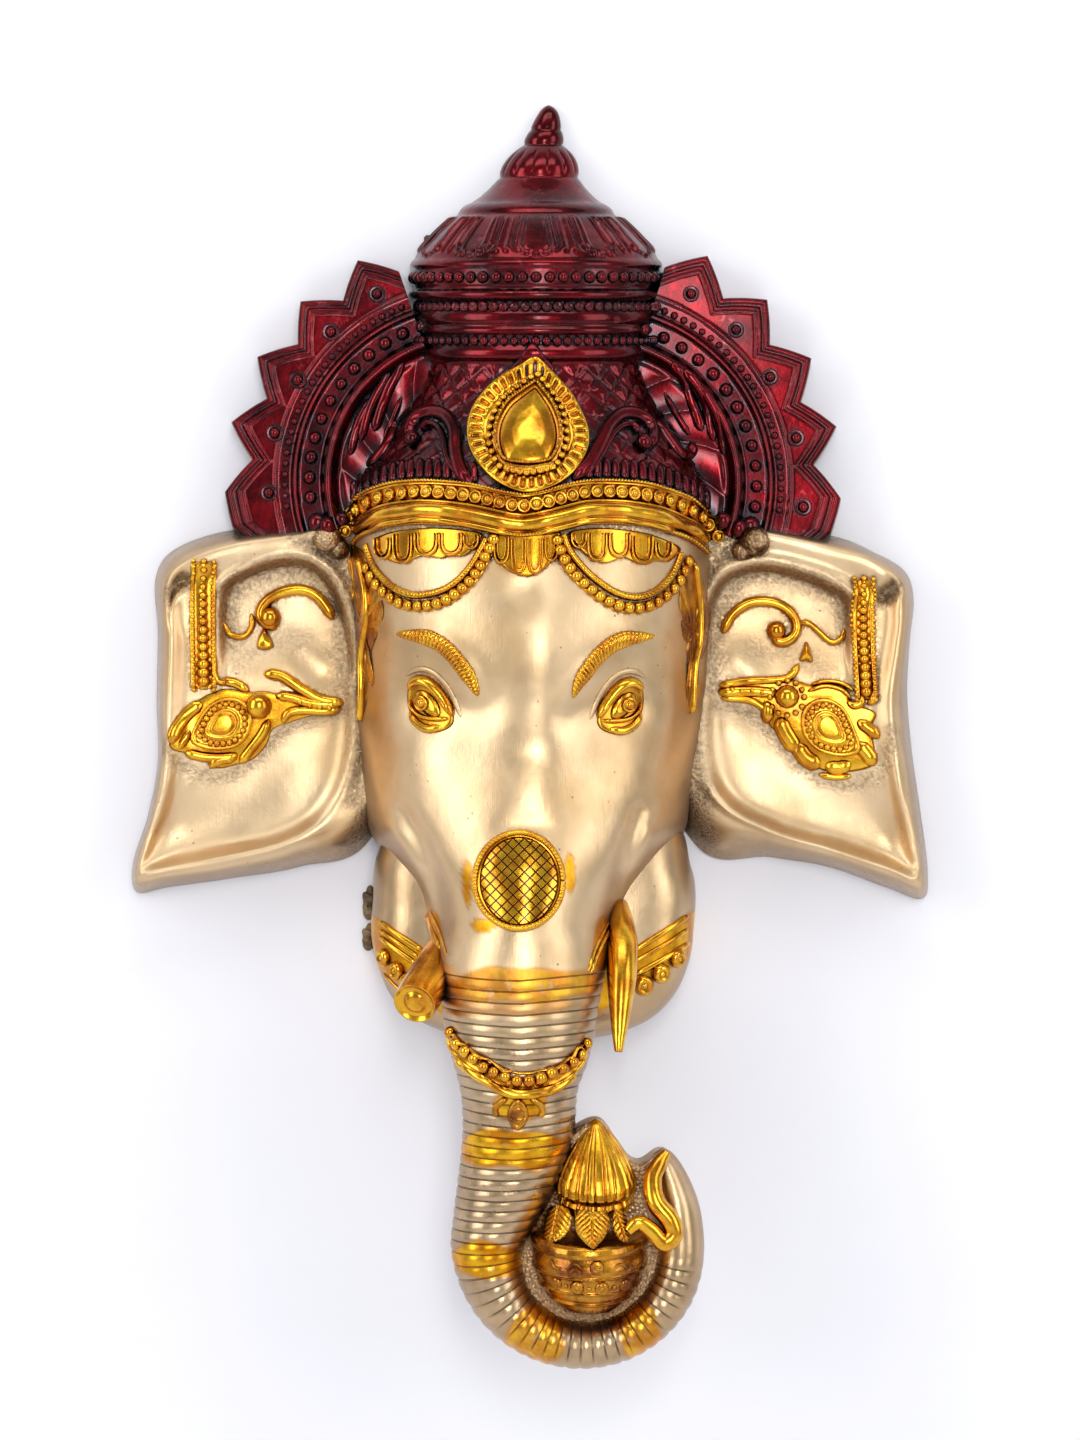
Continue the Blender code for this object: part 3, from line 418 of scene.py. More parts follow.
def crown_relief(angle, height, radius):
    """Height of lobes, petals and diamonds pressed into the crown, in millimetres."""
    lobes = (np.abs(np.cos(angle * 7)) ** 0.4 - 0.7) * step(77, 80, height) * (1 - step(87, 91, height))
    share = (CROWN_PETAL_TOP - height) / CROWN_PETAL_TALL
    side = np.abs((angle / (2 * math.pi) * CROWN_PETALS + 0.5) % 1 - 0.5) * 2
    bend = np.sqrt(np.clip(1 - ((share - 0.66) / 0.27) ** 2, 0, 1))
    width = np.where(share < 0.66, 0.5 + 0.12 * share, 0.58 * bend)
    petals = 1.5 * hill(side - width, 0.09) + 0.8 * hill(side - width + 0.22, 0.05) * (share < 0.8)
    petals = petals - 0.9 * hill(side - width - 0.14, 0.05) - 0.7 * hill(side - width + 0.12, 0.05)
    petals = petals + 1.2 * hill(side - 0.86, 0.07) * (1 - step(0.84, 0.9, share))
    petals = petals * step(0.0, 0.06, share) * (1 - step(0.95, 1.0, share))
    along = angle * 60.0
    diamond_a = (along + height * 1.15) / 13.5
    diamond_b = (along - height * 1.15) / 13.5
    lines = np.maximum(hill((diamond_a % 1) - 0.5, 0.07), hill((diamond_b % 1) - 0.5, 0.07))
    odd = (np.floor(diamond_a + 0.5) + np.floor(diamond_b + 0.5)) % 2
    centre = np.hypot((diamond_a % 1 + 0.5) % 1 - 0.5, (diamond_b % 1 + 0.5) % 1 - 0.5)
    rosette = odd * (hill(centre, 0.1) + 0.8 * hill(centre - 0.24, 0.06))
    turban = (1 - step(-19, -16, height)) * step(-80, -74, height)
    return lobes + petals + (rosette * 0.9 - lines * 1.2) * turban


def crown_shape(u, v, carved=1.0):
    angle = np.where(u < CROWN_FRONT_SHARE, u / CROWN_FRONT_SHARE - 0.5,
                     0.5 + (u - CROWN_FRONT_SHARE) / (1 - CROWN_FRONT_SHARE)) * math.pi
    run = np.where(v < 0.97, v / 0.97 * CROWN_SHOWN, CROWN_SHOWN + (v - 0.97) / 0.03 * (crown_run[-1] - CROWN_SHOWN))
    radius = np.interp(run, crown_run, crown_path[:, 0])
    height = np.interp(run, crown_run, crown_path[:, 1])
    before = np.stack([np.interp(run - 0.8, crown_run, crown_path[:, k]) for k in (0, 1)])
    after = np.stack([np.interp(run + 0.8, crown_run, crown_path[:, k]) for k in (0, 1)])
    radius = 0.5 * radius + 0.25 * (before[0] + after[0])
    height = 0.5 * height + 0.25 * (before[1] + after[1])
    way = after - before
    size = np.maximum(np.hypot(*way), 1e-6)
    relief = carved * crown_relief(angle, height, radius) * step(0.0, 8.0, radius) * (np.abs(angle) < 2.0)
    radius = np.where(v > 0.999, 0, radius - way[1] / size * relief)
    height = height + way[0] / size * relief
    return crown_point(angle, radius, height)


print("the crown's profile runs", round(CROWN_SHOWN), "mm from tip to headband")

# %% [markdown]
# ## Fans
# Two fans of five pointed teeth stand out behind the crown. Each is a ring-shaped slab: up its
# hidden inner side, over a carved face, and down the zigzag edge to the wall.

# %% Carved face of a fan
FANS = {
    "left": {"centre": (-29.3, -76.7), "first": 117.3, "step": 16.3, "tip": 124.6, "drift": -0.2, "tuck": 10.0},
    "right": {"centre": (31.4, -78.6), "first": 63.7, "step": -16.7, "tip": 128.1, "drift": -1.1, "tuck": -10.0}}
TEETH = 5
TOOTH = 13.2
FAN_RISE = [
    (40.0, 22.0), (52.0, 22.5), (60.0, 23.0), (65.0, 23.4), (67.0, 24.6), (68.2, 28.2), (70.4, 29.6), (72.4, 28.4),
    (73.6, 24.0), (75.0, 22.4), (85.4, 21.6), (86.2, 23.8), (87.6, 24.2), (88.8, 22.0), (90.0, 21.2), (96.2, 20.8),
    (97.0, 22.2), (98.2, 21.0), (128.0, 19.6)]


def fan_corners(fan):
    """Angle and radius of the zigzag's corners, from the first valley to the tuck under the ear."""
    corners = []
    for tooth in range(TEETH):
        tip = fan["tip"] + fan["drift"] * tooth
        corners.append((fan["first"] + fan["step"] * (tooth - 0.5), tip - TOOTH))
        corners.append((fan["first"] + fan["step"] * tooth, tip))
    last = fan["first"] + fan["step"] * (TEETH - 0.5)
    corners.append((last, fan["tip"] + fan["drift"] * TEETH - 1.5))
    corners.append((last + fan["tuck"], 106.0))
    return np.array(corners)


def fan_shape(fan):
    """The shape function of one fan."""
    corners = fan_corners(fan)
    rise = np.array(FAN_RISE)

    def shape(u, v):
        angle = np.interp(u * (len(corners) - 1), np.arange(len(corners)), corners[:, 0])
        edge = np.interp(u * (len(corners) - 1), np.arange(len(corners)), corners[:, 1])
        face = np.clip((v - 0.06) / 0.8, 0, 1)
        radius = 40.0 + (edge - 1.6 - 40.0) * face
        height = np.interp(radius, rise[:, 0], rise[:, 1])
        gap = edge - radius
        height = height - 1.3 * hill(gap - 6.2, 1.0) + 0.7 * hill(gap - 8.6, 1.2) - 0.8 * hill(gap - 10.6, 0.8)
        height = height - 1.4 * step(2.4, 0.0, gap - 1.6)
        leaf = np.abs(np.sin(np.radians(angle) * 9 + radius / 9.0)) ** 0.6
        height = height + 1.3 * leaf * step(66, 62, radius) * step(44, 48, radius)
        wall = v > 0.86
        down = np.clip((v - 0.86) / 0.08, 0, 1)
        radius = np.where(wall, edge - 1.6 * (1 - down) ** 2, radius)
        height = np.where(wall, 18.2 - 24.2 * down, height)
        back = v > 0.94
        radius = np.where(back, edge + (40.0 - edge) * (v - 0.94) / 0.06, radius)
        height = np.where(back, -6.0, height)
        inner = v < 0.06
        radius = np.where(inner, 40.0, radius)
        height = np.where(inner, -6.0 + 28.0 * v / 0.06, height)
        turn = np.radians(angle)
        return np.stack([fan["centre"][0] + radius * np.cos(turn), -height,
                         fan["centre"][1] + radius * np.sin(turn) - LINE_BELOW_BAR], axis=1)
    return shape


print("each fan has", TEETH, "teeth", TOOTH, "mm deep")

# %% [markdown]
# ## Ears
# An ear is a shallow dish inside a rolled rim. Its folds are lines in the photograph: the helix
# that runs in from the top, the shell round the ornament, and the deep lap over the lower lobe.

# %% Outlines and folds of the ears
EARS = {
    "left": {
        "base": [
            (-84.0, -96.0), (-111.0, -97.0), (-151.7, -99.2), (-179.7, -109.1), (-188.9, -124.0),
            (-187.5, -150.0), (-188.0, -185.0), (-187.2, -215.0), (-192.2, -242.4), (-199.8, -267.0),
            (-197.7, -281.9), (-181.7, -279.5), (-148.7, -274.9), (-114.8, -269.4), (-79.4, -256.0), (-50.0, -180.0)],
        "front": [
            (-84.0, -101.0), (-113.6, -103.0), (-147.1, -108.9), (-167.8, -116.2), (-178.6, -128.6),
            (-179.1, -155.6), (-180.1, -185.2), (-181.1, -214.7), (-185.0, -241.8), (-192.0, -262.0),
            (-193.0, -272.8), (-178.0, -271.0), (-152.0, -267.0), (-118.6, -258.0), (-85.6, -240.3), (-50.0, -176.0)],
        "centre": (-134.0, -190.0),
        "shell": [
            (223, 587), (250, 569), (280, 560), (310, 562), (332, 583), (348, 622), (354, 668), (345, 692), (320, 698),
            (268, 694), (240, 692), (222, 684), (219, 640)],
        "folds": [
            ([(219, 584), (250, 564), (281, 555), (312, 557), (338, 580), (354, 622), (360, 672)], 8, 2.8),
            ([(354, 690), (356, 740), (344, 788), (318, 824), (282, 847), (210, 861), (140, 878)], 10, 3.6),
            ([(330, 740), (322, 780), (290, 812), (220, 830), (170, 836)], 24, -1.8),
            ([(172, 640), (168, 720), (164, 790), (148, 850)], 10, 1.4),
            ([(330, 720), (280, 755), (230, 800), (190, 830)], 34, -3.4),
            ([(164, 598), (172, 586), (182, 580)], 8, -6.0), ([(300, 650), (318, 668)], 16, 1.8)],
        # Lines of speckled dirt and painted shade along the folds.
        "fold_dirt_and_shade": [
            ([(232, 640), (226, 600), (250, 578), (284, 568), (318, 574), (338, 600), (346, 650), (348, 690)], 15, 0.9),
            ([(160, 600), (166, 590), (178, 584)], 8, 1.0), ([(240, 660), (270, 640), (300, 640)], 16, 0.45),
            ([(160, 744), (176, 762), (206, 777), (238, 772), (264, 750), (284, 730), (312, 718), (346, 710)], 9, 0.75),
            ([(296, 540), (330, 556), (350, 590), (358, 640), (360, 700), (358, 760), (352, 800)], 11, 0.9)]},
    "right": {
        "base": [
            (84.0, -94.0), (111.8, -96.2), (151.8, -102.2), (172.0, -110.6), (187.6, -120.0), (192.2, -134.0),
            (190.2, -155.1), (189.2, -182.0), (191.7, -212.0), (195.7, -240.0), (199.4, -272.0), (196.2, -285.3),
            (178.2, -279.9), (148.8, -269.4), (119.8, -265.0), (81.4, -259.9), (50.0, -180.0)],
        "front": [
            (84.0, -100.0), (112.8, -101.5), (149.7, -110.3), (168.0, -115.6), (181.0, -126.1), (184.0, -140.0),
            (183.0, -157.0), (179.0, -185.2), (181.2, -209.0), (185.0, -236.0), (190.4, -262.0), (191.1, -275.7),
            (176.0, -270.0), (147.0, -260.5), (116.0, -251.0), (85.7, -232.0), (50.0, -176.0)],
        "centre": (134.0, -190.0),
        "shell": [
            (708, 604), (724, 576), (762, 565), (802, 573), (830, 585), (850, 600), (852, 650), (850, 696), (800, 700),
            (716, 697), (706, 650)],
        "folds": [
            ([(704, 600), (722, 571), (762, 560), (804, 568), (834, 580), (854, 594)], 8, 2.8),
            ([(703, 700), (702, 752), (714, 792), (738, 818), (790, 842), (850, 858), (910, 880)], 10, 3.6),
            ([(724, 740), (738, 784), (776, 814), (830, 834), (886, 848)], 24, -1.8),
            ([(904, 600), (896, 650), (892, 700), (898, 780), (912, 850)], 10, 1.4),
            ([(730, 720), (780, 765), (840, 806), (880, 834)], 34, -3.4),
            ([(884, 596), (896, 586), (904, 582)], 8, -5.0), ([(740, 660), (750, 672)], 14, 1.8)],
        # Lines of speckled dirt and painted shade along the folds.
        "fold_dirt_and_shade": [
            ([(712, 690), (710, 640), (718, 604), (736, 582), (768, 572), (806, 580), (838, 596), (850, 620)], 15, 0.9),
            ([(884, 598), (894, 588), (904, 584)], 8, 1.0), ([(752, 650), (786, 652), (820, 668)], 16, 0.45),
            ([(716, 704), (748, 712), (772, 734), (796, 764), (822, 780), (856, 784), (884, 768), (892, 730)], 9, 0.75),
            ([(752, 540), (722, 556), (704, 590), (698, 640), (696, 700), (698, 760), (704, 800)], 11, 0.9)]}}
EAR_HEIGHT = 26.0


def ear_shape(ear):
    """The shape function of one ear: face from the middle to the rim, wall, then back."""
    middle = np.array(ear["centre"])
    folds = [(evenly(path, 16), wide, height) for path, wide, height in ear["folds"]]
    shell = evenly(ear["shell"], 60, closed=True)

    def shape(u, v):
        base = smooth(ear["base"], u * len(ear["base"]), closed=True)
        front = smooth(ear["front"], u * len(ear["front"]), closed=True)
        share = np.clip(v / 0.78, 0, 1)
        spot = middle + (front - middle) * (share * 0.985)[:, None]
        reach = np.linalg.norm(front - middle, axis=1)
        from_rim = (1 - share) * reach
        height = 21.6 + 1.6 * share * hill(from_rim, 30.0) + 2.6 * share * hill(from_rim - 2.0, 6.0)
        points = np.stack([spot[:, 0], -height, spot[:, 1] - LINE_BELOW_BAR], axis=1)
        px, py = pixels_of(points)
        for path, wide, rise in folds:
            gap, _ = distance_to(path, px, py)
            height = height + rise * hill(gap, wide)
        sunk = step(-2.0, 9.0, depth_inside(shell, px, py)) * (1 - 0.85 * step(612, 690, py))
        height = height - 6.4 * sunk + 0.14 * hand_wobble(px, py, 11.0, 0.9)
        down = np.clip((v - 0.78) / 0.14, 0, 1)
        slide = down ** 0.8
        wall_spot = middle + (front - middle) * 0.985 + (base - (middle + (front - middle) * 0.985)) * slide[:, None]
        spot = np.where((v > 0.78)[:, None], wall_spot, spot)
        rim = 21.6 + 1.6 + 2.6 * hill(2.0, 6.0)
        height = np.where(v > 0.78, rim - (rim + 6.0) * down ** 1.6, height)
        closing = np.clip((v - 0.92) / 0.08, 0, 1)
        spot = np.where((v > 0.92)[:, None], base + (middle - base) * closing[:, None], spot)
        height = np.where(v > 0.92, -6.0, height)
        return np.stack([spot[:, 0], -height, spot[:, 1] - LINE_BELOW_BAR], axis=1)
    return shape


def ear_fields(ear):
    """Dirt and painted shade along the folds of an ear, and painted shade on its wall."""
    lines = [(evenly(path, 16), wide, most) for path, wide, most in ear["fold_dirt_and_shade"]]

    def fields(points, u, v):
        px, py = pixels_of(points)
        # Speckled dirt and painted shade along the folds.
        fold_dirt_and_shade = np.zeros(len(px))
        for line, wide, most in lines:
            gap, _ = distance_to(line, px, py)
            fold_dirt_and_shade = np.maximum(fold_dirt_and_shade, most * hill(gap + 2.5 * hand_wobble(px, py, 4.0, 2.2), wide))
        # Painted shade darkens the ear's wall.
        return {"gold": 0 * fold_dirt_and_shade, "drawn": 0 * fold_dirt_and_shade, "tarnish_and_shade": step(0.79, 0.83, v), "fold_dirt_and_shade": fold_dirt_and_shade * (v < 0.8)}
    return fields


print("the ears rise", EAR_HEIGHT, "mm off the wall")

# %% [markdown]
# ## Jaw
# Behind the trunk hangs a plain rounded jaw. It is a disc too, swelling from its outline.

# %% Outline of the jaw
JAW = [
    (-58.0, -240.0), (-75.3, -259.8), (-78.0, -284.0), (-78.6, -303.0), (-72.8, -324.0), (-62.8, -338.6),
    (-43.4, -348.6), (-20.0, -352.6), (2.0, -353.6), (32.9, -351.6), (54.4, -345.1), (67.8, -334.6),
    (76.3, -319.7), (80.3, -299.7), (79.3, -268.3), (58.0, -240.0)]
JAW_CENTRE = (0.0, -296.0)


def jaw_shape(u, v):
    outline = smooth(JAW, u * len(JAW), closed=True)
    middle = np.array(JAW_CENTRE)
    share = np.clip(v / 0.6, 0, 1)
    spot = middle + (outline - middle) * share[:, None] ** 0.8
    height = 22.0 + 34.0 * np.sqrt(np.clip(1 - share ** 5, 0, 1))
    down = np.clip((v - 0.6) / 0.2, 0, 1)
    spot = np.where((v > 0.6)[:, None], outline, spot)
    height = np.where(v > 0.6, 22.0 - 28.0 * down, height)
    closing = np.clip((v - 0.8) / 0.2, 0, 1)
    spot = np.where((v > 0.8)[:, None], outline + (middle - outline) * closing[:, None], spot)
    height = np.where(v > 0.8, -6.0, height)
    return np.stack([spot[:, 0], -height, spot[:, 1] - LINE_BELOW_BAR], axis=1)


JAW_BANDS = [(378.0, 918.0, 0.68, 54.0), (633.0, 948.0, -0.63, 46.0)]


def jaw_fields(points, u, v):
    """Yellow lacquer between two slanting lines on each side of the jaw."""
    px, py = pixels_of(points)
    share = np.zeros(len(px))
    for (x, y, slope, wide), side in zip(JAW_BANDS, (px < 530, px > 530)):
        below = py - (y + slope * (px - x))
        share += side * step(-1.0, 2.0, below) * (1 - step(wide - 5, wide, below))
    # Painted shade darkens the whole jaw towards brown.
    return {"gold": share, "rolls": 0 * share, "drawn": 0 * share, "tarnish_and_shade": 0 * share + 0.55}


# %% [markdown]
# ## One hollow casting
# Each form is a closed solid now. The hollow is a coarser set of the same forms, a wall's
# thickness smaller, joined into one cutter. Taking it away from every form, and cutting all of
# them flat at the wall, leaves a thin open-backed shell like the real casting's.

# %% Fold the main forms
forms = {
    "head_and_trunk": fold("head_and_trunk", 150, 470, head_shape, head_fields),
    "crown": fold("crown", 320, 250, crown_shape),
    "left_fan": fold("left_fan", 264, 120, fan_shape(FANS["left"])),
    "right_fan": fold("right_fan", 264, 120, fan_shape(FANS["right"])),
    "left_ear": fold("left_ear", 240, 110, ear_shape(EARS["left"]), ear_fields(EARS["left"])),
    "right_ear": fold("right_ear", 240, 110, ear_shape(EARS["right"]), ear_fields(EARS["right"])),
    "jaw": fold("jaw", 240, 100, jaw_shape, jaw_fields)}
for name, thing in forms.items():
    print(name, len(thing.data.polygons), "faces")


# %% The cutter for the hollow
WALL = 5.0
FACE_WALL = 8.0


def head_hollow(u, v):
    inner = spine(FACE_WALL, 16.0)[:-7]
    points, _, _ = round_section(smooth(inner, v * (len(inner) - 1)), u)
    return points


def crown_hollow(u, v):
    heights = np.array([61.0, 61.0, 53.0, 44.0, 32.0, -16.0, -60.0, -86.0, -86.0])
    outer = np.interp(-heights, -crown_path[:, 1], crown_path[:, 0]) - WALL - 1.5
    outer[[0, -1]] = 0.0
    where = v * (len(heights) - 1)
    radius, height = (np.interp(where, np.arange(len(heights)), line) for line in (outer, heights))
    return crown_point(u * 2 * math.pi, radius, height)


def fan_hollow(fan):
    edge = fan["tip"] - TOOTH - 6.0

    def shape(u, v):
        turn = np.radians(fan["first"] + fan["step"] * (u * (TEETH + 0.5) - 0.5))
        rings = [(44.0, -9.0), (44.0, 13.5), (edge, 13.5), (edge, -9.0), (44.0, -9.0)]
        radius, height = (np.interp(v * 4, np.arange(5), line) for line in np.array(rings).T)
        return np.stack([fan["centre"][0] + radius * np.cos(turn), -height,
                         fan["centre"][1] + radius * np.sin(turn) - LINE_BELOW_BAR], axis=1)
    return shape


def ear_hollow(ear):
    middle = np.array(ear["centre"])

    def shape(u, v):
        front = smooth(ear["front"], u * len(ear["front"]), closed=True)
        share = np.interp(v * 5, [0, 1, 2, 3, 4, 5], [0.0, 0.8, 0.91, 0.93, 0.93, 0.0])
        height = np.interp(v * 5, [0, 1, 2, 3, 4, 5], [12.5, 12.5, 16.0, 4.0, -9.0, -9.0])
        spot = middle + (front - middle) * share[:, None]
        return np.stack([spot[:, 0], -height, spot[:, 1] - LINE_BELOW_BAR], axis=1)
    return shape


def jaw_hollow(u, v):
    outline = smooth(JAW, u * len(JAW), closed=True)
    middle = np.array(JAW_CENTRE)
    share = np.interp(v * 4, [0, 1, 2, 3, 4], [0.0, 0.7, 0.92, 0.92, 0.0])
    height = np.interp(v * 4, [0, 1, 2, 3, 4], [49.0, 47.0, 17.0, -9.0, -9.0])
    spot = middle + (outline - middle) * share[:, None]
    return np.stack([spot[:, 0], -height, spot[:, 1] - LINE_BELOW_BAR], axis=1)


def apply_boolean(thing, other, operation):
    """Join another closed mesh to this one, or cut it away."""
    change = thing.modifiers.new("change", "BOOLEAN")
    change.operation = operation
    change.solver = "MANIFOLD"
    change.object = other
    mesh = bpy.data.meshes.new_from_object(thing.evaluated_get(bpy.context.evaluated_depsgraph_get()))
    thing.modifiers.clear()
    thing.data = mesh


raw_metal = bpy.data.materials.new("raw_casting")
skin_metal = bpy.data.materials.new("satin_brass")
red_metal = bpy.data.materials.new("red_lacquer")
for name, thing in forms.items():
    thing.data.materials.append(red_metal if name in ("crown", "left_fan", "right_fan") else skin_metal)
    thing.data.materials.append(raw_metal)

hollows = [
    fold("hollow", 48, 60, head_hollow), fold("crown_hollow", 48, 30, crown_hollow),
    fold("jaw_hollow", 48, 12, jaw_hollow)]
hollows += [fold("fan_hollow", 40, 16, fan_hollow(fan)) for fan in FANS.values()]
hollows += [fold("ear_hollow", 60, 20, ear_hollow(ear)) for ear in EARS.values()]
cutter = hollows[0]
for other in hollows[1:]:
    apply_boolean(cutter, other, "UNION")
    bpy.data.objects.remove(other)
cutter.data.materials.append(skin_metal)
cutter.data.materials.append(raw_metal)
for face in cutter.data.polygons:
    face.material_index = 1
print("the cutter has", len(cutter.data.polygons), "faces")

# %% Hollow every form and cut it flat at the wall
def cut_at_wall(thing):
    """Cut away what reaches behind the wall plane and close the cut."""
    bm = bmesh.new()
    bm.from_mesh(thing.data)
    whole = bm.verts[:] + bm.edges[:] + bm.faces[:]
    bmesh.ops.bisect_plane(bm, geom=whole, dist=1e-7, plane_co=(0, 0, 0), plane_no=(0, 1, 0), clear_outer=True)
    bmesh.ops.holes_fill(bm, edges=[edge for edge in bm.edges if edge.is_boundary], sides=0)
    bm.to_mesh(thing.data)
    bm.free()


for name, thing in forms.items():
    apply_boolean(thing, cutter, "DIFFERENCE")
    cut_at_wall(thing)
    print(name, "hollowed:", len(thing.data.polygons), "faces")
bpy.data.objects.remove(cutter)


# %% [markdown]
# ## Ornaments
# All jewellery lies on the skins. A ray from the eye through a pixel finds the spot on the metal,
# so an ornament drawn in pixels is draped over the form and keeps its seat from every side.

# %% Find the metal under a pixel
def tree_of(things):
    """One search tree over several finished pieces, in millimetres."""
    bm = bmesh.new()
    for thing in things:
        bm.from_mesh(thing.data)
    bmesh.ops.scale(bm, vec=(1 / MM, 1 / MM, 1 / MM), verts=bm.verts)
    tree = BVHTree.FromBMesh(bm)
    bm.free()
    return tree


plain_crown = fold("plain_crown", 160, 125, lambda u, v: crown_shape(u, v, 0.0))
skins = tree_of([plain_crown] + [thing for name, thing in forms.items() if name != "crown"])
bpy.data.objects.remove(plain_crown)


def touch(px, py):
    """Points and outward ways of the metal under each pixel."""
    points, ways = [], []
    start = Vector(EYE)
    for x, y in zip(px, py):
        aim = Vector(place_of(x, y, 0.0)) - start
        spot, way, _, _ = skins.ray_cast(start, aim.normalized())
        points.append(place_of(x, y, 18.0) if spot is None else spot)
        ways.append((0, -1, 0) if way is None else way)
    return np.array(points), np.array(ways)


def blur(rows, times):
    """Average each row with its neighbours."""
    for _ in range(times):
        rows[1:-1] = 0.5 * rows[1:-1] + 0.25 * (rows[:-2] + rows[2:])
    return rows


# %% [markdown]
# Strips are bars laid along a path: ropes, milled lines, brows, scrolls and feathers. A strip has
# a cross section of offsets and heights, which narrows at its ends or is notched along its run.

# %% Strips along a path
def strip(name, path, section, grain=1.2, taper=(0.0, 0.0), notch=(0.0, 1.0), slant=0.0, lift=0.0, swell=0.0):
    """A bar draped on the metal along pixels; section holds offset and height pairs in millimetres."""
    rough = evenly(path, 60)
    length = PIXEL * 0.95 * float(np.sum(np.linalg.norm(np.diff(rough, axis=0), axis=1)))
    count = max(int(length / grain), 6)
    line = evenly(path, count)
    centres, ways = touch(line[:, 0], line[:, 1])
    centres, ways = blur(centres, 3), blur(ways, 6)
    along = np.gradient(centres, axis=0)
    along /= np.linalg.norm(along, axis=1)[:, None]
    side = np.cross(along, ways)
    side /= np.linalg.norm(side, axis=1)[:, None]
    up = np.cross(side, along)
    section = np.array(section)
    if swell == 0.0:
        swell = 1.0
    sunk = [(section[-1, 0] * 0.6, -1.6), (section[0, 0] * 0.6, -1.6), tuple(section[0])]
    outline = np.vstack([section, sunk])

    def shape(u, v):
        where = v * count
        spot, way, beside = (smooth(rows, where) for rows in (centres, up, side))
        gone = v * length
        ends = np.ones(len(v))
        if taper[0]:
            ends = ends * np.sqrt(np.clip(gone / taper[0], 0, 1) + 1e-6)
        if taper[1]:
            ends = ends * np.sqrt(np.clip((length - gone) / taper[1], 0, 1) + 1e-6)
        if not taper[0]:
            ends = ends * np.where(v < 1e-6, 0.02, 1)
        if not taper[1]:
            ends = ends * np.where(v > 1 - 1e-6, 0.02, 1)
        offset, height = (np.interp(u * (len(outline) - 1), np.arange(len(outline)), outline[:, k]) for k in (0, 1))
        wave = 1 + notch[0] * np.cos(2 * math.pi * (gone / notch[1] + slant * offset))
        middle = 1 + (swell - 1) * np.sin(np.pi * v)
        offset = offset * ends * middle
        height = np.where(height > 0, height * wave, height) * ends + lift
        return spot + beside * offset[:, None] + way * height[:, None]
    return fold(name, 2 * (len(outline) - 1), count + 1, shape)


def round_bar(half, height):
    """Cross section of a half round bar."""
    return [(half * math.cos(math.radians(a)), height * math.sin(math.radians(a))) for a in (180, 150, 120, 90, 60, 30, 0)]


# %% [markdown]
# Pads are raised plates with an outline: the medallion, eyes, leaves and birds. Their height
# depends on how far from the middle a spot lies, and flutes or notches may run round them.

# %% Pads inside an outline
def pad(name, outline, profile, rings=14, around=72, flutes=0, flute=0.0, band=(0.7, 1.0), middle=None, turn=0.0):
    """A plate draped on the metal; profile holds shares from middle to rim and their heights."""
    edge = evenly(outline, around, closed=True)
    centre = np.mean(edge, axis=0) if middle is None else np.array(middle)
    profile = np.array(profile)

    def shape(u, v):
        rim = smooth(edge, u * around, closed=True)
        share = np.clip(v / 0.86, 0, 1)
        inner = np.clip((1 - v) / 0.14, 0, 1)
        spot = centre + (rim - centre) * np.where(v <= 0.86, share, inner * 0.98)[:, None]
        points, _ = touch(spot[:, 0], spot[:, 1])
        height = np.interp(share, profile[:, 0], profile[:, 1])
        if flutes:
            wave = 0.5 + 0.5 * np.cos(2 * math.pi * (u * flutes + turn))
            height = height - flute * wave ** 3 * (share > band[0]) * (share < band[1])
        points[:, 1] -= np.where(v <= 0.86, height, -1.2)
        return points
    return fold(name, around + 1, rings + 4, shape, pixel_fields)


def pixel_fields(points, u, v):
    """Photo pixels as attributes, for patterns that are drawn on a plate."""
    px, py = pixels_of(points)
    return {"px": px, "py": py}


def oval(x, y, wide, tall, turn=0.0, points=12):
    """Outline of an oval in pixels, turned clockwise in degrees."""
    a = np.linspace(0, 2 * math.pi, points, endpoint=False)
    c, s = math.cos(math.radians(turn)), math.sin(math.radians(turn))
    return [(x + wide * math.cos(t) * c - tall * math.sin(t) * s, y + wide * math.cos(t) * s + tall * math.sin(t) * c)
            for t in a]


# %% [markdown]
# Beads are turned: a profile spun about its axis, from a plain ball to one with engraved rings.
# One bead is made, then set again and again along a path.

# %% Beads in a row
PLAIN_BEAD = [(0.0, 0.86), (0.45, 0.78), (0.8, 0.5), (1.0, 0.1), (0.9, -0.4)]
RINGED_BEAD = [(0.0, 0.62), (0.22, 0.56), (0.34, 0.36), (0.5, 0.62), (0.78, 0.56), (1.0, 0.2), (0.94, -0.4)]
EYED_BEAD = [(0.0, 0.8), (0.36, 0.72), (0.58, 0.46), (0.68, 0.16), (0.8, 0.44), (1.0, 0.3), (0.98, -0.5)]


def bead_mesh(profile, sides=12):
    """A bead of radius 1 standing along Z."""
    bm = bmesh.new()
    line = [bm.verts.new((r, 0, z)) for r, z in profile]
    edges = [bm.edges.new(pair) for pair in zip(line, line[1:])]
    bmesh.ops.spin(bm, geom=line + edges, cent=(0, 0, 0), axis=(0, 0, 1), angle=2 * math.pi, steps=sides,
                   use_merge=True)
    bmesh.ops.remove_doubles(bm, verts=bm.verts, dist=1e-4)
    bmesh.ops.holes_fill(bm, edges=[edge for edge in bm.edges if edge.is_boundary], sides=0)
    bmesh.ops.recalc_face_normals(bm, faces=bm.faces)
    mesh = bpy.data.meshes.new("bead")
    bm.to_mesh(mesh)
    bm.free()
    return mesh


bead_meshes = {"plain": bead_mesh(PLAIN_BEAD), "ringed": bead_mesh(RINGED_BEAD, 14), "eyed": bead_mesh(EYED_BEAD, 14)}


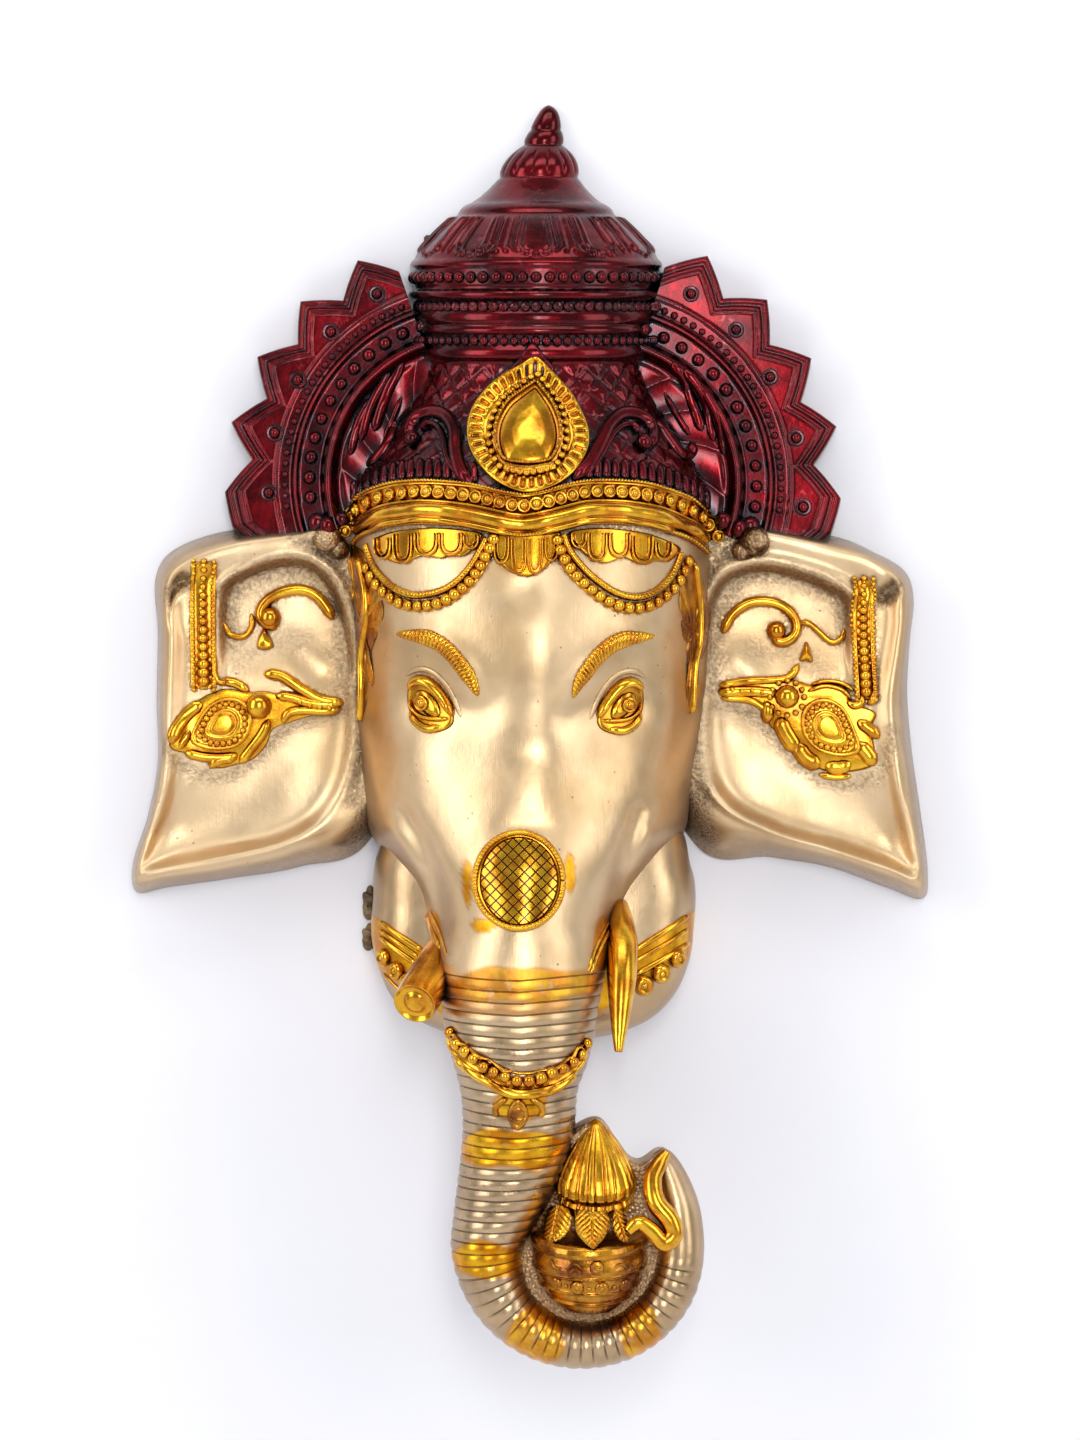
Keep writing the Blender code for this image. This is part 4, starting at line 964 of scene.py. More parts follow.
def beads(name, rows, kind="plain", lift=0.0):
    """Beads on the metal; each row is a list of pixels, a radius and, after them, a count."""
    bm = bmesh.new()
    made = 0
    for path, radius, *count in rows:
        spots = evenly(path, count[0] - 1) if count else np.array(path, float)
        points, ways = touch(spots[:, 0], spots[:, 1])
        points = points + ways * lift
        for number, (point, way) in enumerate(zip(points, ways)):
            start = len(bm.verts)
            bm.from_mesh(bead_meshes[kind])
            bm.verts.ensure_lookup_table()
            size = radius * (1 + 0.06 * math.sin(7.1 * (number + made)))
            turned = Vector(way).to_track_quat("Z", "Y").to_matrix().to_4x4()
            place = Matrix.Translation(Vector(point) * MM) @ turned @ Matrix.Scale(size * MM, 4)
            bmesh.ops.transform(bm, matrix=place, verts=bm.verts[start:])
        made += len(points)
    for face in bm.faces:
        face.smooth = True
    print(name, made, "beads")
    return as_object(name, bm)


# %% [markdown]
# ### Headband, swags and petals
# A milled rim, a row of ringed beads and a bright half round bar run across the brow. Two swags
# of rope and beads hang from it over panels with engraved petals.

# %% Headband
HEADBAND = [
    (346, 530), (354, 515), (363, 506), (376, 500), (391, 496), (406, 494), (425, 493), (446, 494), (467, 496),
    (487, 500), (505, 504), (524, 506), (544, 503), (560, 499), (576, 495), (594, 493), (612, 493), (631, 494),
    (646, 496), (662, 500), (678, 505), (691, 511), (699, 517), (707, 524), (717, 535)]
HEADBAND_SECTION = [
    (-5.6, 0.3), (-5.2, 1.6), (-4.3, 1.8), (-3.7, 0.9), (3.4, 0.9), (4.0, 1.8), (4.8, 1.6), (5.2, 0.9), (5.8, 2.4),
    (7.6, 4.0), (10.0, 4.2), (11.8, 2.8), (12.4, 1.2), (13.2, 2.0), (14.6, 2.0), (15.4, 0.4)]
brow_gold = []
brow_gold.append(strip("headband_bar", HEADBAND, HEADBAND_SECTION, grain=1.4))
brow_gold.append(beads("headband_beads", [(HEADBAND, 3.2, 34)], "eyed", lift=1.5))
MILLING = [(x, y + 30) for x, y in HEADBAND[1:-1]]
brow_gold.append(strip("headband_milling", MILLING, [(-0.9, 1.6), (-0.5, 2.6), (0.5, 2.6), (0.9, 1.6)], 0.5, (0, 0), (0.25, 1.5)))
TOP_RIM = [(x, y - 10.5) for x, y in HEADBAND[1:-1]]
brow_gold.append(strip("headband_rim", TOP_RIM, [(-0.8, 1.4), (-0.4, 2.7), (0.4, 2.7), (0.8, 1.4)], 0.5, (0, 0), (0.25, 1.5)))

# %% Swags
SWAG_ROPES = {
    "left": [(366, 545), (372, 562), (382, 577), (396, 589), (412, 595), (430, 594), (446, 589), (460, 579), (472, 565), (481, 550), (487, 538)],
    "right": [(563, 534), (569, 550), (582, 567), (596, 580), (614, 592), (632, 597), (650, 594), (664, 584), (674, 570), (681, 553)]}
SWAG_BEADS = {
    "left": [(368, 568), (376, 582), (387, 594), (398, 602), (411, 606), (425, 606), (440, 603), (455, 595), (469, 583), (480, 568), (489, 551), (494, 540)],
    "right": [(557, 541), (563, 558), (574, 574), (589, 588), (605, 600), (622, 607), (640, 608), (656, 603), (670, 592), (680, 578), (687, 562)]}
for side in SWAG_ROPES:
    brow_gold.append(strip(side + "_swag_rope", SWAG_ROPES[side], round_bar(2.0, 2.2), 0.55, (0, 0), (0.18, 1.5), 0.35))
    brow_gold.append(strip(side + "_swag_bed", SWAG_BEADS[side], round_bar(2.9, 0.8), 1.5))
    brow_gold.append(beads(side + "_swag_beads", [(SWAG_BEADS[side], 3.0, 19)], lift=0.9))


def petal_line(x, top, bottom, half, inset):
    """A hanging petal's engraved outline, drawn in by an inset."""
    wide, low = half - inset, bottom - inset
    return [(x - wide, top), (x - wide, 0.5 * (top + low)), (x - 0.75 * wide, low - 3), (x, low),
            (x + 0.75 * wide, low - 3), (x + wide, 0.5 * (top + low)), (x + wide, top)]


PANELS = {
    "left_panel": [
        (370, 540), (384, 533), (404, 529), (440, 527), (484, 532), (481, 541), (474, 551), (464, 557),
        (452, 555), (444, 559), (434, 558), (424, 556), (412, 560), (402, 565), (390, 563), (380, 557), (373, 549)],
    "right_panel": [
        (566, 531), (600, 527), (640, 531), (664, 538), (684, 548), (679, 557), (670, 563), (658, 562),
        (648, 566), (636, 563), (624, 558), (612, 562), (602, 564), (590, 560), (580, 552), (571, 543)],
    "middle_panel": [
        (488, 531), (527, 533), (562, 531), (558, 553), (550, 566), (540, 574), (528, 578), (514, 575),
        (502, 567), (493, 552)]}
PETALS = [
    (385, 537, 559, 8), (405, 533, 563, 9), (428, 532, 556, 11), (452, 532, 556, 11), (472, 534, 550, 7),
    (578, 532, 549, 7), (596, 532, 561, 9), (618, 532, 558, 10), (640, 535, 563, 10), (661, 541, 560, 8),
    (502, 536, 564, 7), (519, 538, 573, 7), (535, 538, 574, 7), (551, 536, 562, 6)]
for name, outline in PANELS.items():
    brow_gold.append(pad(name, outline, [(0.0, 1.5), (0.86, 1.4), (0.95, 1.0), (1.0, 0.1)], 12, 80))
for number, (x, top, bottom, half) in enumerate(PETALS):
    for inset, wide, tall in ((0.0, 0.75, 2.6), (3.2, 0.55, 2.2)):
        outline = petal_line(x, top, bottom, half, inset)
        brow_gold.append(strip(f"petal_{number}_{inset:.0f}", outline, round_bar(wide, tall), 0.9))
print(len(brow_gold), "pieces of gold on the brow")

# %% [markdown]
# ### Medallion
# A pointed drop: a plate notched all round like leaves, a ring of beads, a milled border and a
# smooth boss that mirrors the light.

# %% Medallion
PLATE = [
    (536, 356), (549, 366), (561, 378), (573, 392), (582, 408), (589, 424), (591, 441), (587, 456), (578, 470),
    (564, 482), (547, 490), (527, 494), (508, 489), (492, 480), (479, 467), (469, 451), (465, 434), (467, 415),
    (475, 399), (488, 384), (503, 372), (520, 363)]
PLATE_MIDDLE = (530, 431)
BOSS = [
    (535, 391), (535.5, 391.5), (542, 400), (549, 411), (554, 425), (555, 440), (550, 454), (544, 460), (528, 462),
    (511, 460), (505, 454), (501, 440), (503, 424), (511, 409), (524, 398), (534, 391)]


def scaled(outline, share, middle):
    """An outline drawn in or out about a middle."""
    return [(middle[0] + (x - middle[0]) * share, middle[1] + (y - middle[1]) * share) for x, y in outline]


PLATE_PROFILE = [(0.0, 3.4), (0.64, 3.2), (0.68, 2.4), (0.71, 3.2), (0.76, 4.2), (0.9, 4.5), (0.97, 4.1), (1.0, 2.6)]
brow_gold.append(pad("medallion_plate", PLATE, PLATE_PROFILE, 40, 300, 38, 2.2, (0.75, 0.9), PLATE_MIDDLE))
brow_gold.append(pad("medallion_boss", scaled(BOSS, 1.08, (528, 430)), [(0.0, 8.4), (0.3, 8.1), (0.6, 7.1), (0.85, 5.6), (0.95, 4.7), (1.0, 3.8)], 16, 96))
border = scaled(BOSS, 1.16, (528, 430))
brow_gold.append(strip("medallion_border", border + border[:1], [(-0.8, 3.2), (-0.6, 4.9), (0.6, 4.9), (0.8, 3.2)], 0.5, (0, 0), (0.2, 1.3)))
ring = scaled(BOSS, 1.38, (528, 428))
brow_gold.append(beads("medallion_beads", [(ring + ring[:1], 1.7, 34)], lift=3.9))
brow_gold.append(strip("medallion_foot", [(503, 470), (528, 474), (556, 469)], [(-2.4, 3.6), (-1.8, 4.6), (1.8, 4.6), (2.4, 3.6)], 1.2))
brow_gold.append(beads("medallion_foot_beads", [([(508, 473), (528, 477), (552, 472)], 1.7, 8)], "ringed", lift=4.4))
backing = pad("medallion_backing", [(532, 341), (545, 356), (556, 372), (530, 378), (508, 372), (519, 358)], [(0.0, 3.2), (0.9, 2.8), (1.0, 1.0)], 8, 36)

# %% [markdown]
# ### Eyes and brows
# Each eye is a tilted almond: a plate of yellow lacquer, a ball with an engraved iris, a heavy
# upper lid, and two lids below. The right eye mirrors the left about the face's middle.

# %% Eyes and brows
face_gold = []
FACE_MIDDLE = 525.5
EYE_OUTLINE = [(411, 679), (422, 676), (436, 684), (446, 697), (453, 712), (452, 725), (438, 732), (422, 729), (411, 716), (407, 697)]
UPPER_LID = [(410, 690), (415, 681), (426, 680), (438, 689), (447, 702), (453, 717)]
LID_CREASE = [(405, 676), (418, 669), (434, 673), (448, 688), (457, 706), (461, 718)]
LOWER_LID = [(411, 698), (414, 709), (423, 717), (436, 720), (451, 719)]
LOWER_BAG = [(410, 710), (416, 722), (428, 729), (444, 727)]
BROW = [(396, 634), (410, 635), (425, 637), (439, 643), (452, 654), (463, 668), (472, 682), (478, 696)]


def mirrored(path, shift):
    """The same path on the other side of the face."""
    return [(2 * FACE_MIDDLE - x, y + shift) for x, y in path]


for side in ("left", "right"):
    def turned_to(path, shift=2):
        return path if side == "left" else mirrored(path, shift)
    face_gold.append(pad(side + "_eye_plate", turned_to(EYE_OUTLINE), [(0.0, 1.8), (0.6, 1.6), (0.9, 1.0), (1.0, 0.2)], 10, 48))
    face_gold.append(pad(side + "_eye_ball", turned_to(oval(428, 704, 17, 9, 50)), [(0.0, 4.2), (0.5, 3.8), (0.85, 2.6), (1.0, 1.6)], 10, 40))
    face_gold.append(beads(side + "_iris", [(turned_to([(425, 701), (425.5, 701.5)]), 3.7, 2)], "eyed", lift=3.6))
    face_gold.append(strip(side + "_upper_lid", turned_to(UPPER_LID), round_bar(2.6, 4.6), 0.9, (4, 5)))
    face_gold.append(strip(side + "_lower_lid", turned_to(LOWER_LID), round_bar(1.4, 3.4), 0.9, (3, 3)))
    face_gold.append(strip(side + "_lower_bag", turned_to(LOWER_BAG), round_bar(2.2, 2.4), 0.9, (4, 4)))
    face_gold.append(strip(side + "_brow", turned_to(BROW), [(-3.9, 0.1), (-3.2, 1.0), (-1.2, 2.1), (1.0, 2.5), (2.8, 2.1), (3.7, 1.3), (4.1, 0.1)],
                      0.4, (15, 12), (0.36, 1.9), 0.14))
creases = [strip(side + "_lid_crease", LID_CREASE if side == "left" else mirrored(LID_CREASE, 2), round_bar(1.5, 0.9), 1.0, (6, 6))
           for side in ("left", "right")]
print("eyes and brows stand on the face")


# %% [markdown]
# ### Crown rows, fan rows and volutes
# Rows of cast beads circle the crown and follow the fans, two volutes flank the medallion and a
# fringe of short tongues stands on the headband. All of it is tinted red with the crown.

# %% Rows of red beads
def crown_row(height, count, span=80):
    """Pixels of equal steps round the crown at one height."""
    angle = np.radians(np.linspace(-span, span, count))
    radius = np.full(count, np.interp(-height, -crown_path[:, 1], crown_path[:, 0]))
    return list(zip(*pixels_of(crown_point(angle, radius, np.full(count, height)))))


def fan_row(fan, radius, count, first, last):
    """Pixels of equal steps along a fan, from one angle to another."""
    turn = np.radians(np.linspace(first, last, count))
    points = np.stack([fan["centre"][0] + radius * np.cos(turn), np.full(count, -22.0),
                       fan["centre"][1] + radius * np.sin(turn) - LINE_BELOW_BAR], axis=1)
    return list(zip(*pixels_of(points)))


left_fan, right_fan = FANS["left"], FANS["right"]
TOOTH_BEADS = {
    "left": [(377, 294), (331, 332), (298, 380), (275, 433), (269, 493)],
    "right": [(691, 294), (736, 330), (770, 377), (796, 438), (803, 507)]}
red = [
    beads("crown_large_beads", [(crown_row(26.0, 27), 3.1)]),
    beads("crown_scallops", [(crown_row(11.6, 33), 2.7)], "ringed"),
    beads("crown_small_beads", [(crown_row(-5.0, 33), 2.5)]),
    beads("fan_large_beads", [(fan_row(left_fan, 80.0, 12, 108, 186), 3.5), (fan_row(right_fan, 80.0, 12, 72, -8), 3.5)]),
    beads("fan_small_beads", [(fan_row(left_fan, 92.2, 24, 112, 188), 1.9), (fan_row(right_fan, 92.2, 24, 68, -8), 1.9)]),
    beads("fan_tooth_rings", [(TOOTH_BEADS["left"], 4.4), (TOOTH_BEADS["right"], 4.4)], "eyed", lift=-0.6),
    beads("fan_tooth_beads", [(TOOTH_BEADS["left"], 2.9), (TOOTH_BEADS["right"], 2.9)], lift=0.3)]

# %% Volutes, leaves and fringe
RED_STRIPS = {
    "left_volute": ([(472, 486), (461, 471), (456, 451), (455, 432), (447, 417), (432, 412), (419, 418), (411, 430),
                     (413, 440)], 3.8, 4.4),
    "left_volute_arm": ([(464, 480), (449, 462), (445, 442), (439, 428), (429, 424), (421, 431)], 1.9, 3.2),
    "left_volute_back": ([(396, 420), (389, 442), (377, 458), (366, 466)], 3.4, 3.0),
    "right_volute": ([(572, 481), (589, 463), (601, 441), (609, 425), (622, 414), (637, 415), (649, 425), (652, 439),
                      (643, 447)], 3.8, 4.4),
    "right_volute_arm": ([(584, 479), (600, 457), (611, 437), (621, 427), (632, 426), (639, 435)], 1.9, 3.2),
    "right_volute_back": ([(656, 420), (668, 438), (682, 455), (692, 450), (690, 441)], 3.4, 3.0),
    "left_leaf_1": ([(404, 362), (388, 390), (374, 432)], 3.0, 2.2),
    "left_leaf_2": ([(390, 372), (372, 402), (360, 442)], 2.6, 2.0),
    "left_leaf_3": ([(374, 394), (359, 420), (350, 456)], 2.4, 1.8),
    "left_leaf_4": ([(402, 396), (394, 416), (384, 440)], 1.8, 1.8),
    "right_leaf_1": ([(672, 362), (688, 390), (702, 432)], 3.0, 2.2),
    "right_leaf_2": ([(684, 368), (703, 398), (714, 442)], 2.6, 2.0),
    "right_leaf_3": ([(700, 386), (716, 416), (724, 456)], 2.4, 1.8),
    "right_leaf_4": ([(664, 392), (676, 414), (690, 436)], 1.8, 1.8)}
for name, (path, half, height) in RED_STRIPS.items():
    red.append(strip(name, path, round_bar(half, height), 1.0, (5, 4)))
red.append(beads("volute_eyes", [([(414, 440)], 4.4), ([(642, 444)], 4.4)], lift=1.8))
red.append(beads("corner_knobs", [([(750, 526), (318, 523)], 5.0), ([(736, 528), (331, 525)], 5.0),
                                 ([(723, 521), (342, 521)], 4.8)], lift=1.6))
fringe = evenly([(x, y) for x, y in HEADBAND[1:-1]], 41)
for number, (x, y) in enumerate(fringe):
    if not 474 < x < 583:
        red.append(strip(f"fringe_{number}", [(x, y - 36), (x, y - 27), (x, y - 14)], round_bar(2.3, 2.0), 1.2, (3, 0)))
print(len(red), "red pieces")

# %% [markdown]
# ### Ears
# Each ear wears a bead strap that hangs from the top fold, and a peacock lying on its side: a
# drop-shaped body with beads round it, a knob, tail feathers towards the face, and a scroll above.

# %% Straps and peacocks
def strap(side, path, half):
    """A strap with raised borders and beads that grow downwards."""
    section = [(-half, 0.3), (-half + 0.5, 2.2), (-half + 2.0, 2.2), (-half + 2.6, 1.1), (half - 2.6, 1.1),
               (half - 2.0, 2.2), (half - 0.5, 2.2), (half, 0.3)]
    line = evenly(path, 15)
    rows = [([tuple(spot), tuple(spot + 0.1)], 1.5 + 0.11 * k, 2) for k, spot in enumerate(line[:-1])]
    left = [(x - 10, y) for x, y in path]
    right = [(x + 10, y) for x, y in path]
    return [strip(side + "_strap", path, section, 1.2), beads(side + "_strap_beads", rows, lift=1.0),
            beads(side + "_strap_edges", [(left, 1.15, 24), (right, 1.15, 24)], lift=1.8)]


face_gold += strap("left", [(204, 561), (203, 600), (203, 640), (204, 690)], 6.6)
face_gold += strap("right", [(864, 578), (863, 610), (864, 650), (867, 700)], 5.6)
BIRD_BODY = {
    "left": [(190, 741), (198, 719), (212, 702), (230, 696), (247, 702), (254, 718), (250, 735), (238, 747), (220, 751), (203, 749)],
    "right": [(861, 750), (854, 726), (843, 706), (826, 697), (809, 701), (800, 715), (802, 734), (815, 750), (835, 757), (850, 757)]}
BODY_PROFILE = [(0.0, 4.4), (0.34, 4.2), (0.38, 3.2), (0.46, 3.0), (0.5, 3.6), (0.56, 3.0), (0.82, 3.0), (0.87, 3.9), (0.95, 3.7), (1.0, 2.0)]
BODY_MIDDLE = {"left": (223, 724), "right": (828, 727)}
BIRD_GROUND = {
    "left": [
        (167, 747), (174, 720), (194, 701), (222, 688), (247, 691), (264, 690), (284, 694), (312, 700), (341, 702), (341, 709),
        (316, 715), (289, 723), (273, 730), (268, 744), (255, 759), (239, 765), (217, 770), (205, 763), (186, 755)],
    "right": [
        (718, 686), (750, 680), (790, 678), (812, 684), (844, 684), (853, 701), (878, 713), (873, 728), (878, 760), (869, 770),
        (844, 774), (821, 771), (798, 757), (780, 737), (768, 725), (761, 705), (736, 700), (718, 695)]}
for side, outline in BIRD_GROUND.items():
    face_gold.append(pad(side + "_ground", outline, [(0.0, 1.0), (0.86, 0.9), (0.96, 0.6), (1.0, 0.0)], 20, 90))
for side, outline in BIRD_BODY.items():
    face_gold.append(pad(side + "_bird", outline, BODY_PROFILE, 26, 60, middle=BODY_MIDDLE[side]))
    ring = scaled(outline, 0.7, BODY_MIDDLE[side])
    face_gold.append(beads(side + "_bird_beads", [(ring + ring[:1], 1.6, 22)], lift=3.1))
GOLD_STRIPS = {
    "left_scroll": ([(334, 620), (320, 599), (303, 590), (283, 592), (267, 601), (260, 613), (264, 622), (272, 626), (279, 620)], 3.0, 3.6),
    "left_small_scroll": ([(223, 622), (229, 634), (243, 637), (252, 627), (251, 613)], 1.7, 2.2),
    "left_wing_1": ([(220, 681), (235, 683), (250, 692)], 2.6, 2.4),
    "left_tail_top": ([(263, 674), (281, 676), (303, 690), (322, 700), (344, 703)], 3.0, 3.0),
    "left_tail_middle": ([(274, 696), (290, 697), (312, 703), (341, 705)], 2.8, 3.4),
    "left_tail_low": ([(282, 724), (288, 713), (303, 710), (325, 711), (342, 708)], 2.6, 3.0),
    "left_tail_leaf": ([(170, 744), (178, 726), (192, 710), (204, 703)], 3.6, 2.6),
    "left_tail_leaf_2": ([(176, 750), (186, 738), (190, 728)], 2.4, 2.2),
    "left_plume_1": ([(184, 752), (205, 757), (230, 757), (238, 752)], 2.8, 3.2),
    "left_plume_2": ([(210, 769), (216, 761), (232, 758), (238, 756)], 3.0, 3.4),
    "left_plume_3": ([(239, 764), (250, 750), (262, 734), (270, 718)], 2.8, 3.0),
    "left_hook": ([(215, 655), (215, 676), (223, 684), (226, 676)], 1.8, 3.0),
    "right_scroll": ([(722, 634), (734, 613), (753, 602), (775, 603), (791, 613), (797, 628), (790, 640), (778, 642), (771, 634)], 2.8, 3.4),
    "right_small_scroll": ([(797, 624), (808, 623), (820, 633), (832, 643), (842, 638), (845, 628)], 1.7, 2.4),
    "right_tail_top": ([(718, 686), (746, 681), (774, 680), (790, 677), (799, 663)], 2.2, 2.6),
    "right_tail_middle": ([(718, 693), (746, 691), (772, 693), (780, 696)], 3.0, 3.2),
    "right_tail_low": ([(720, 698), (748, 700), (764, 708), (774, 716)], 2.0, 2.4),
    "right_leaf": ([(766, 700), (768, 712), (765, 724)], 3.6, 3.6),
    "right_arc_1": ([(806, 692), (824, 686), (842, 690), (852, 700)], 1.4, 3.0),
    "right_arc_2": ([(810, 685), (826, 681), (844, 684), (855, 692)], 1.3, 2.6),
    "right_plume_1": ([(778, 716), (786, 734), (798, 752)], 4.6, 3.2),
    "right_plume_2": ([(796, 742), (806, 758), (822, 766)], 4.6, 3.0),
    "right_plume_3": ([(824, 764), (838, 768), (852, 762)], 3.8, 2.8),
    "right_plume_4": ([(818, 774), (834, 777), (852, 776)], 1.8, 2.0),
    "right_feather_1": ([(856, 720), (868, 728), (880, 738)], 3.4, 3.0),
    "right_feather_2": ([(856, 742), (866, 752), (875, 766)], 4.2, 3.0),
    "right_hook": ([(846, 700), (854, 706), (862, 702), (862, 694)], 2.4, 3.2),
    "right_hook_2": ([(866, 704), (874, 700), (873, 690)], 2.4, 3.2)}
for name, (path, half, height) in GOLD_STRIPS.items():
    face_gold.append(strip(name, path, round_bar(half, height), 1.0, (4, 4)))
face_gold.append(pad("left_drop", [(264, 628), (270, 636), (274, 646), (268, 650), (258, 649), (257, 641)], [(0.0, 3.2), (0.7, 2.4), (1.0, 0.4)], 8, 32))
face_gold.append(pad("right_drop", [(806, 641), (811, 651), (813, 662), (806, 661), (799, 661), (802, 651)], [(0.0, 3.6), (0.6, 2.2), (1.0, 0.4)], 8, 32))
face_gold.append(beads("ear_knobs", [([(259, 706)], 6.6), ([(787, 698)], 5.8)], lift=2.6))
face_gold.append(beads("knob_beads", [(oval(787, 698, 17, 17), 1.5), ([(752, 690), (742, 690), (732, 689), (762, 692)], 1.5),
                                 ([(300, 701), (310, 704), (320, 706), (330, 707)], 1.5)], lift=2.4))
face_gold.append(beads("tail_curls", [([(270, 618)], 5.6), ([(776, 631)], 4.8)], lift=0.8))
print(len(face_gold), "gold pieces so far")

# %% [markdown]
# ### Mark, locks, knobs and bands
# The oval mark on the trunk's root is a hatched plate in a milled rim. Locks of hair lie at the
# temples, a knob sits on each ear's root, and bands with beads cross the jaw and the trunk.

# %% Mark, locks and bands
trunk_gold = []
mark_plate = pad("mark_plate", oval(519, 881, 40, 45, points=16), [(0.0, 2.0), (0.8, 1.6), (1.0, 1.2)], 16, 72)
trunk_gold.append(pad("mark_rim", oval(519, 881, 47, 52, points=16), [(0.0, 0.8), (0.9, 1.0), (0.94, 2.0), (1.0, 0.3)], 20, 72))
mark_edge = oval(519, 881, 43, 48, points=24)
trunk_gold.append(strip("mark_milling", mark_edge + mark_edge[:1], round_bar(1.5, 1.9), 0.4, notch=(0.2, 1.8), lift=1.0))
LOCK = [(0.0, 2.8), (0.6, 2.2), (1.0, 0.4)]
LOCKS = {
    "left_lock": [
        (346, 542), (358, 545), (370, 556), (380, 586), (384, 612), (378, 634), (371, 656), (374, 682),
        (367, 702), (361, 722), (357, 700), (357, 660), (354, 620), (350, 580)],
    "right_lock": [
        (684, 552), (694, 556), (703, 576), (709, 604), (709, 640), (701, 664), (697, 690), (690, 718),
        (686, 692), (688, 664), (683, 636), (679, 606), (680, 576)]}
locks = [pad(name, outline, LOCK, 14, 90, 11, 1.4, (0.25, 1.0)) for name, outline in LOCKS.items()]
BAND_STRIPS = {
    "left_lock_tail": ([(360, 556), (368, 590), (369, 620), (364, 655), (364, 690), (362, 722)], 1.4, 3.4),
    "right_lock_tail": ([(692, 562), (697, 600), (697, 640), (692, 668), (690, 714)], 1.4, 3.4),
    "left_jaw_band_1": ([(380, 921), (400, 936), (424, 951)], 1.6, 1.8), "left_jaw_band_2": ([(379, 936), (398, 951), (418, 965)], 1.5, 1.6),
    "left_jaw_band_3": ([(379, 929), (400, 944), (420, 958)], 1.2, 1.4), "left_jaw_edge": ([(383, 972), (396, 986), (408, 994)], 1.0, 1.2),
    "right_jaw_band_1": ([(633, 951), (662, 933), (689, 915)], 1.6, 1.8), "right_jaw_band_2": ([(634, 975), (662, 960), (690, 942)], 1.6, 1.6),
    "right_jaw_band_3": ([(633, 962), (662, 946), (689, 928)], 1.2, 1.4),
    "left_root_stripe": ([(427, 913), (432, 932), (440, 950)], 2.2, 1.2), "left_root_stripe_2": ([(430, 910), (440, 932), (447, 956)], 0.9, 1.0),
    "right_root_stripe": ([(617, 918), (602, 944), (590, 974)], 1.3, 1.3), "right_root_stripe_2": ([(610, 920), (596, 946), (588, 972)], 0.9, 1.0)}
for name, (path, half, height) in BAND_STRIPS.items():
    trunk_gold.append(strip(name, path, round_bar(half, height), 1.0, (3, 3)))
trunk_gold.append(beads("jaw_beads", [([(385, 957), (397, 970), (409, 981)], 4.4), ([(643, 985), (660, 973), (676, 958)], 5.0)], "ringed", lift=0.8))
knobs = beads("ear_root_knobs", [([(328, 537), (755, 540)], 7.4), ([(340, 549), (742, 551)], 5.0)], lift=2.0)
GARLAND = [(448, 1033), (456, 1048), (470, 1061), (484, 1070), (502, 1081), (519, 1086), (540, 1084), (560, 1076), (575, 1064), (586, 1046)]
GARLAND_BED = [(-6.6, 0.3), (-6.2, 1.8), (-5.4, 1.8), (-5.0, 0.9), (1.4, 0.9), (2.0, 1.9), (3.4, 1.9), (4.6, 1.0), (5.4, 0.3)]
trunk_gold.append(strip("garland_bed", GARLAND, GARLAND_BED, 1.0, (4, 4)))
trunk_gold.append(strip("garland_rope", [(x, y + 9) for x, y in GARLAND[1:-1]], round_bar(2.2, 2.2), 0.6, (3, 3), lift=0.8))
BEAD_LINE = [(452, 1033), (459, 1043), (472, 1055), (482, 1064), (495, 1072), (508, 1077), (520, 1080), (532, 1079), (544, 1076),
             (554, 1071), (564, 1066), (574, 1060), (581, 1051), (585, 1043)]
trunk_gold.append(beads("garland_beads", [(BEAD_LINE, 3.0, 15)], lift=1.4))
bronze = locks + [
    pad("trunk_drop", [(518, 1098), (527, 1106), (529, 1117), (524, 1127), (518, 1131), (511, 1127), (507, 1117), (509, 1106)],
        [(0.0, 3.6), (0.5, 3.4), (0.56, 2.4), (0.68, 2.4), (0.74, 3.0), (0.9, 2.4), (1.0, 0.4)], 20, 56, 26, 0.6, (0.72, 1.0)),
    strip("drop_curl_1", [(508, 1098), (498, 1104), (495, 1112), (499, 1117)], round_bar(1.6, 1.8), 0.9, (2, 2)),
    strip("drop_curl_2", [(529, 1098), (540, 1104), (543, 1113), (538, 1117)], round_bar(1.6, 1.8), 0.9, (2, 2))]
print(len(trunk_gold), "gold pieces,", len(bronze), "bronze pieces")

# %% [markdown]
# ### Tusks, pot, coconut and lip
# The left tusk is a broken stub, the right one is whole. The curl of the trunk holds a pot of
# leaves with a coconut, in front of a stippled web, and its gold lip closes over the rim.

# %% Tubes and turned shapes
def tube(name, rows, around=32, steps=60):
    """A round bar through rows of place across, height, distance off the wall and radius."""
    rows = np.array(rows)
    rows = np.column_stack([rows[:, 0], -rows[:, 2], rows[:, 1] - LINE_BELOW_BAR, rows[:, 3]])
    last = len(rows) - 1

    def shape(u, v):
        where = np.clip((v - 0.04) / 0.84, 0, 1) * last
        spot = smooth(rows, where)
        along = (smooth(rows, np.minimum(where + 0.05, last)) - smooth(rows, np.maximum(where - 0.05, 0)))[:, :3]
        along /= np.linalg.norm(along, axis=1)[:, None]
        side = np.cross(along, (0, -1, 0))
        side /= np.linalg.norm(side, axis=1)[:, None]
        up = np.cross(side, along)
        cap = np.clip((v - 0.88) / 0.12, 0, 1)
        radius = spot[:, 3] * np.sqrt(np.clip(v / 0.04, 0, 1)) * (1 - cap)
        dish = spot[:, 3] * 0.22 * np.sin(np.pi * np.minimum(cap * 1.6, 1)) * (cap > 0)
        turn = u[:, None] * 2 * math.pi
        return spot[:, :3] + radius[:, None] * (side * np.cos(turn) + up * np.sin(turn)) - along * dish[:, None]
    return fold(name, around, steps, shape)


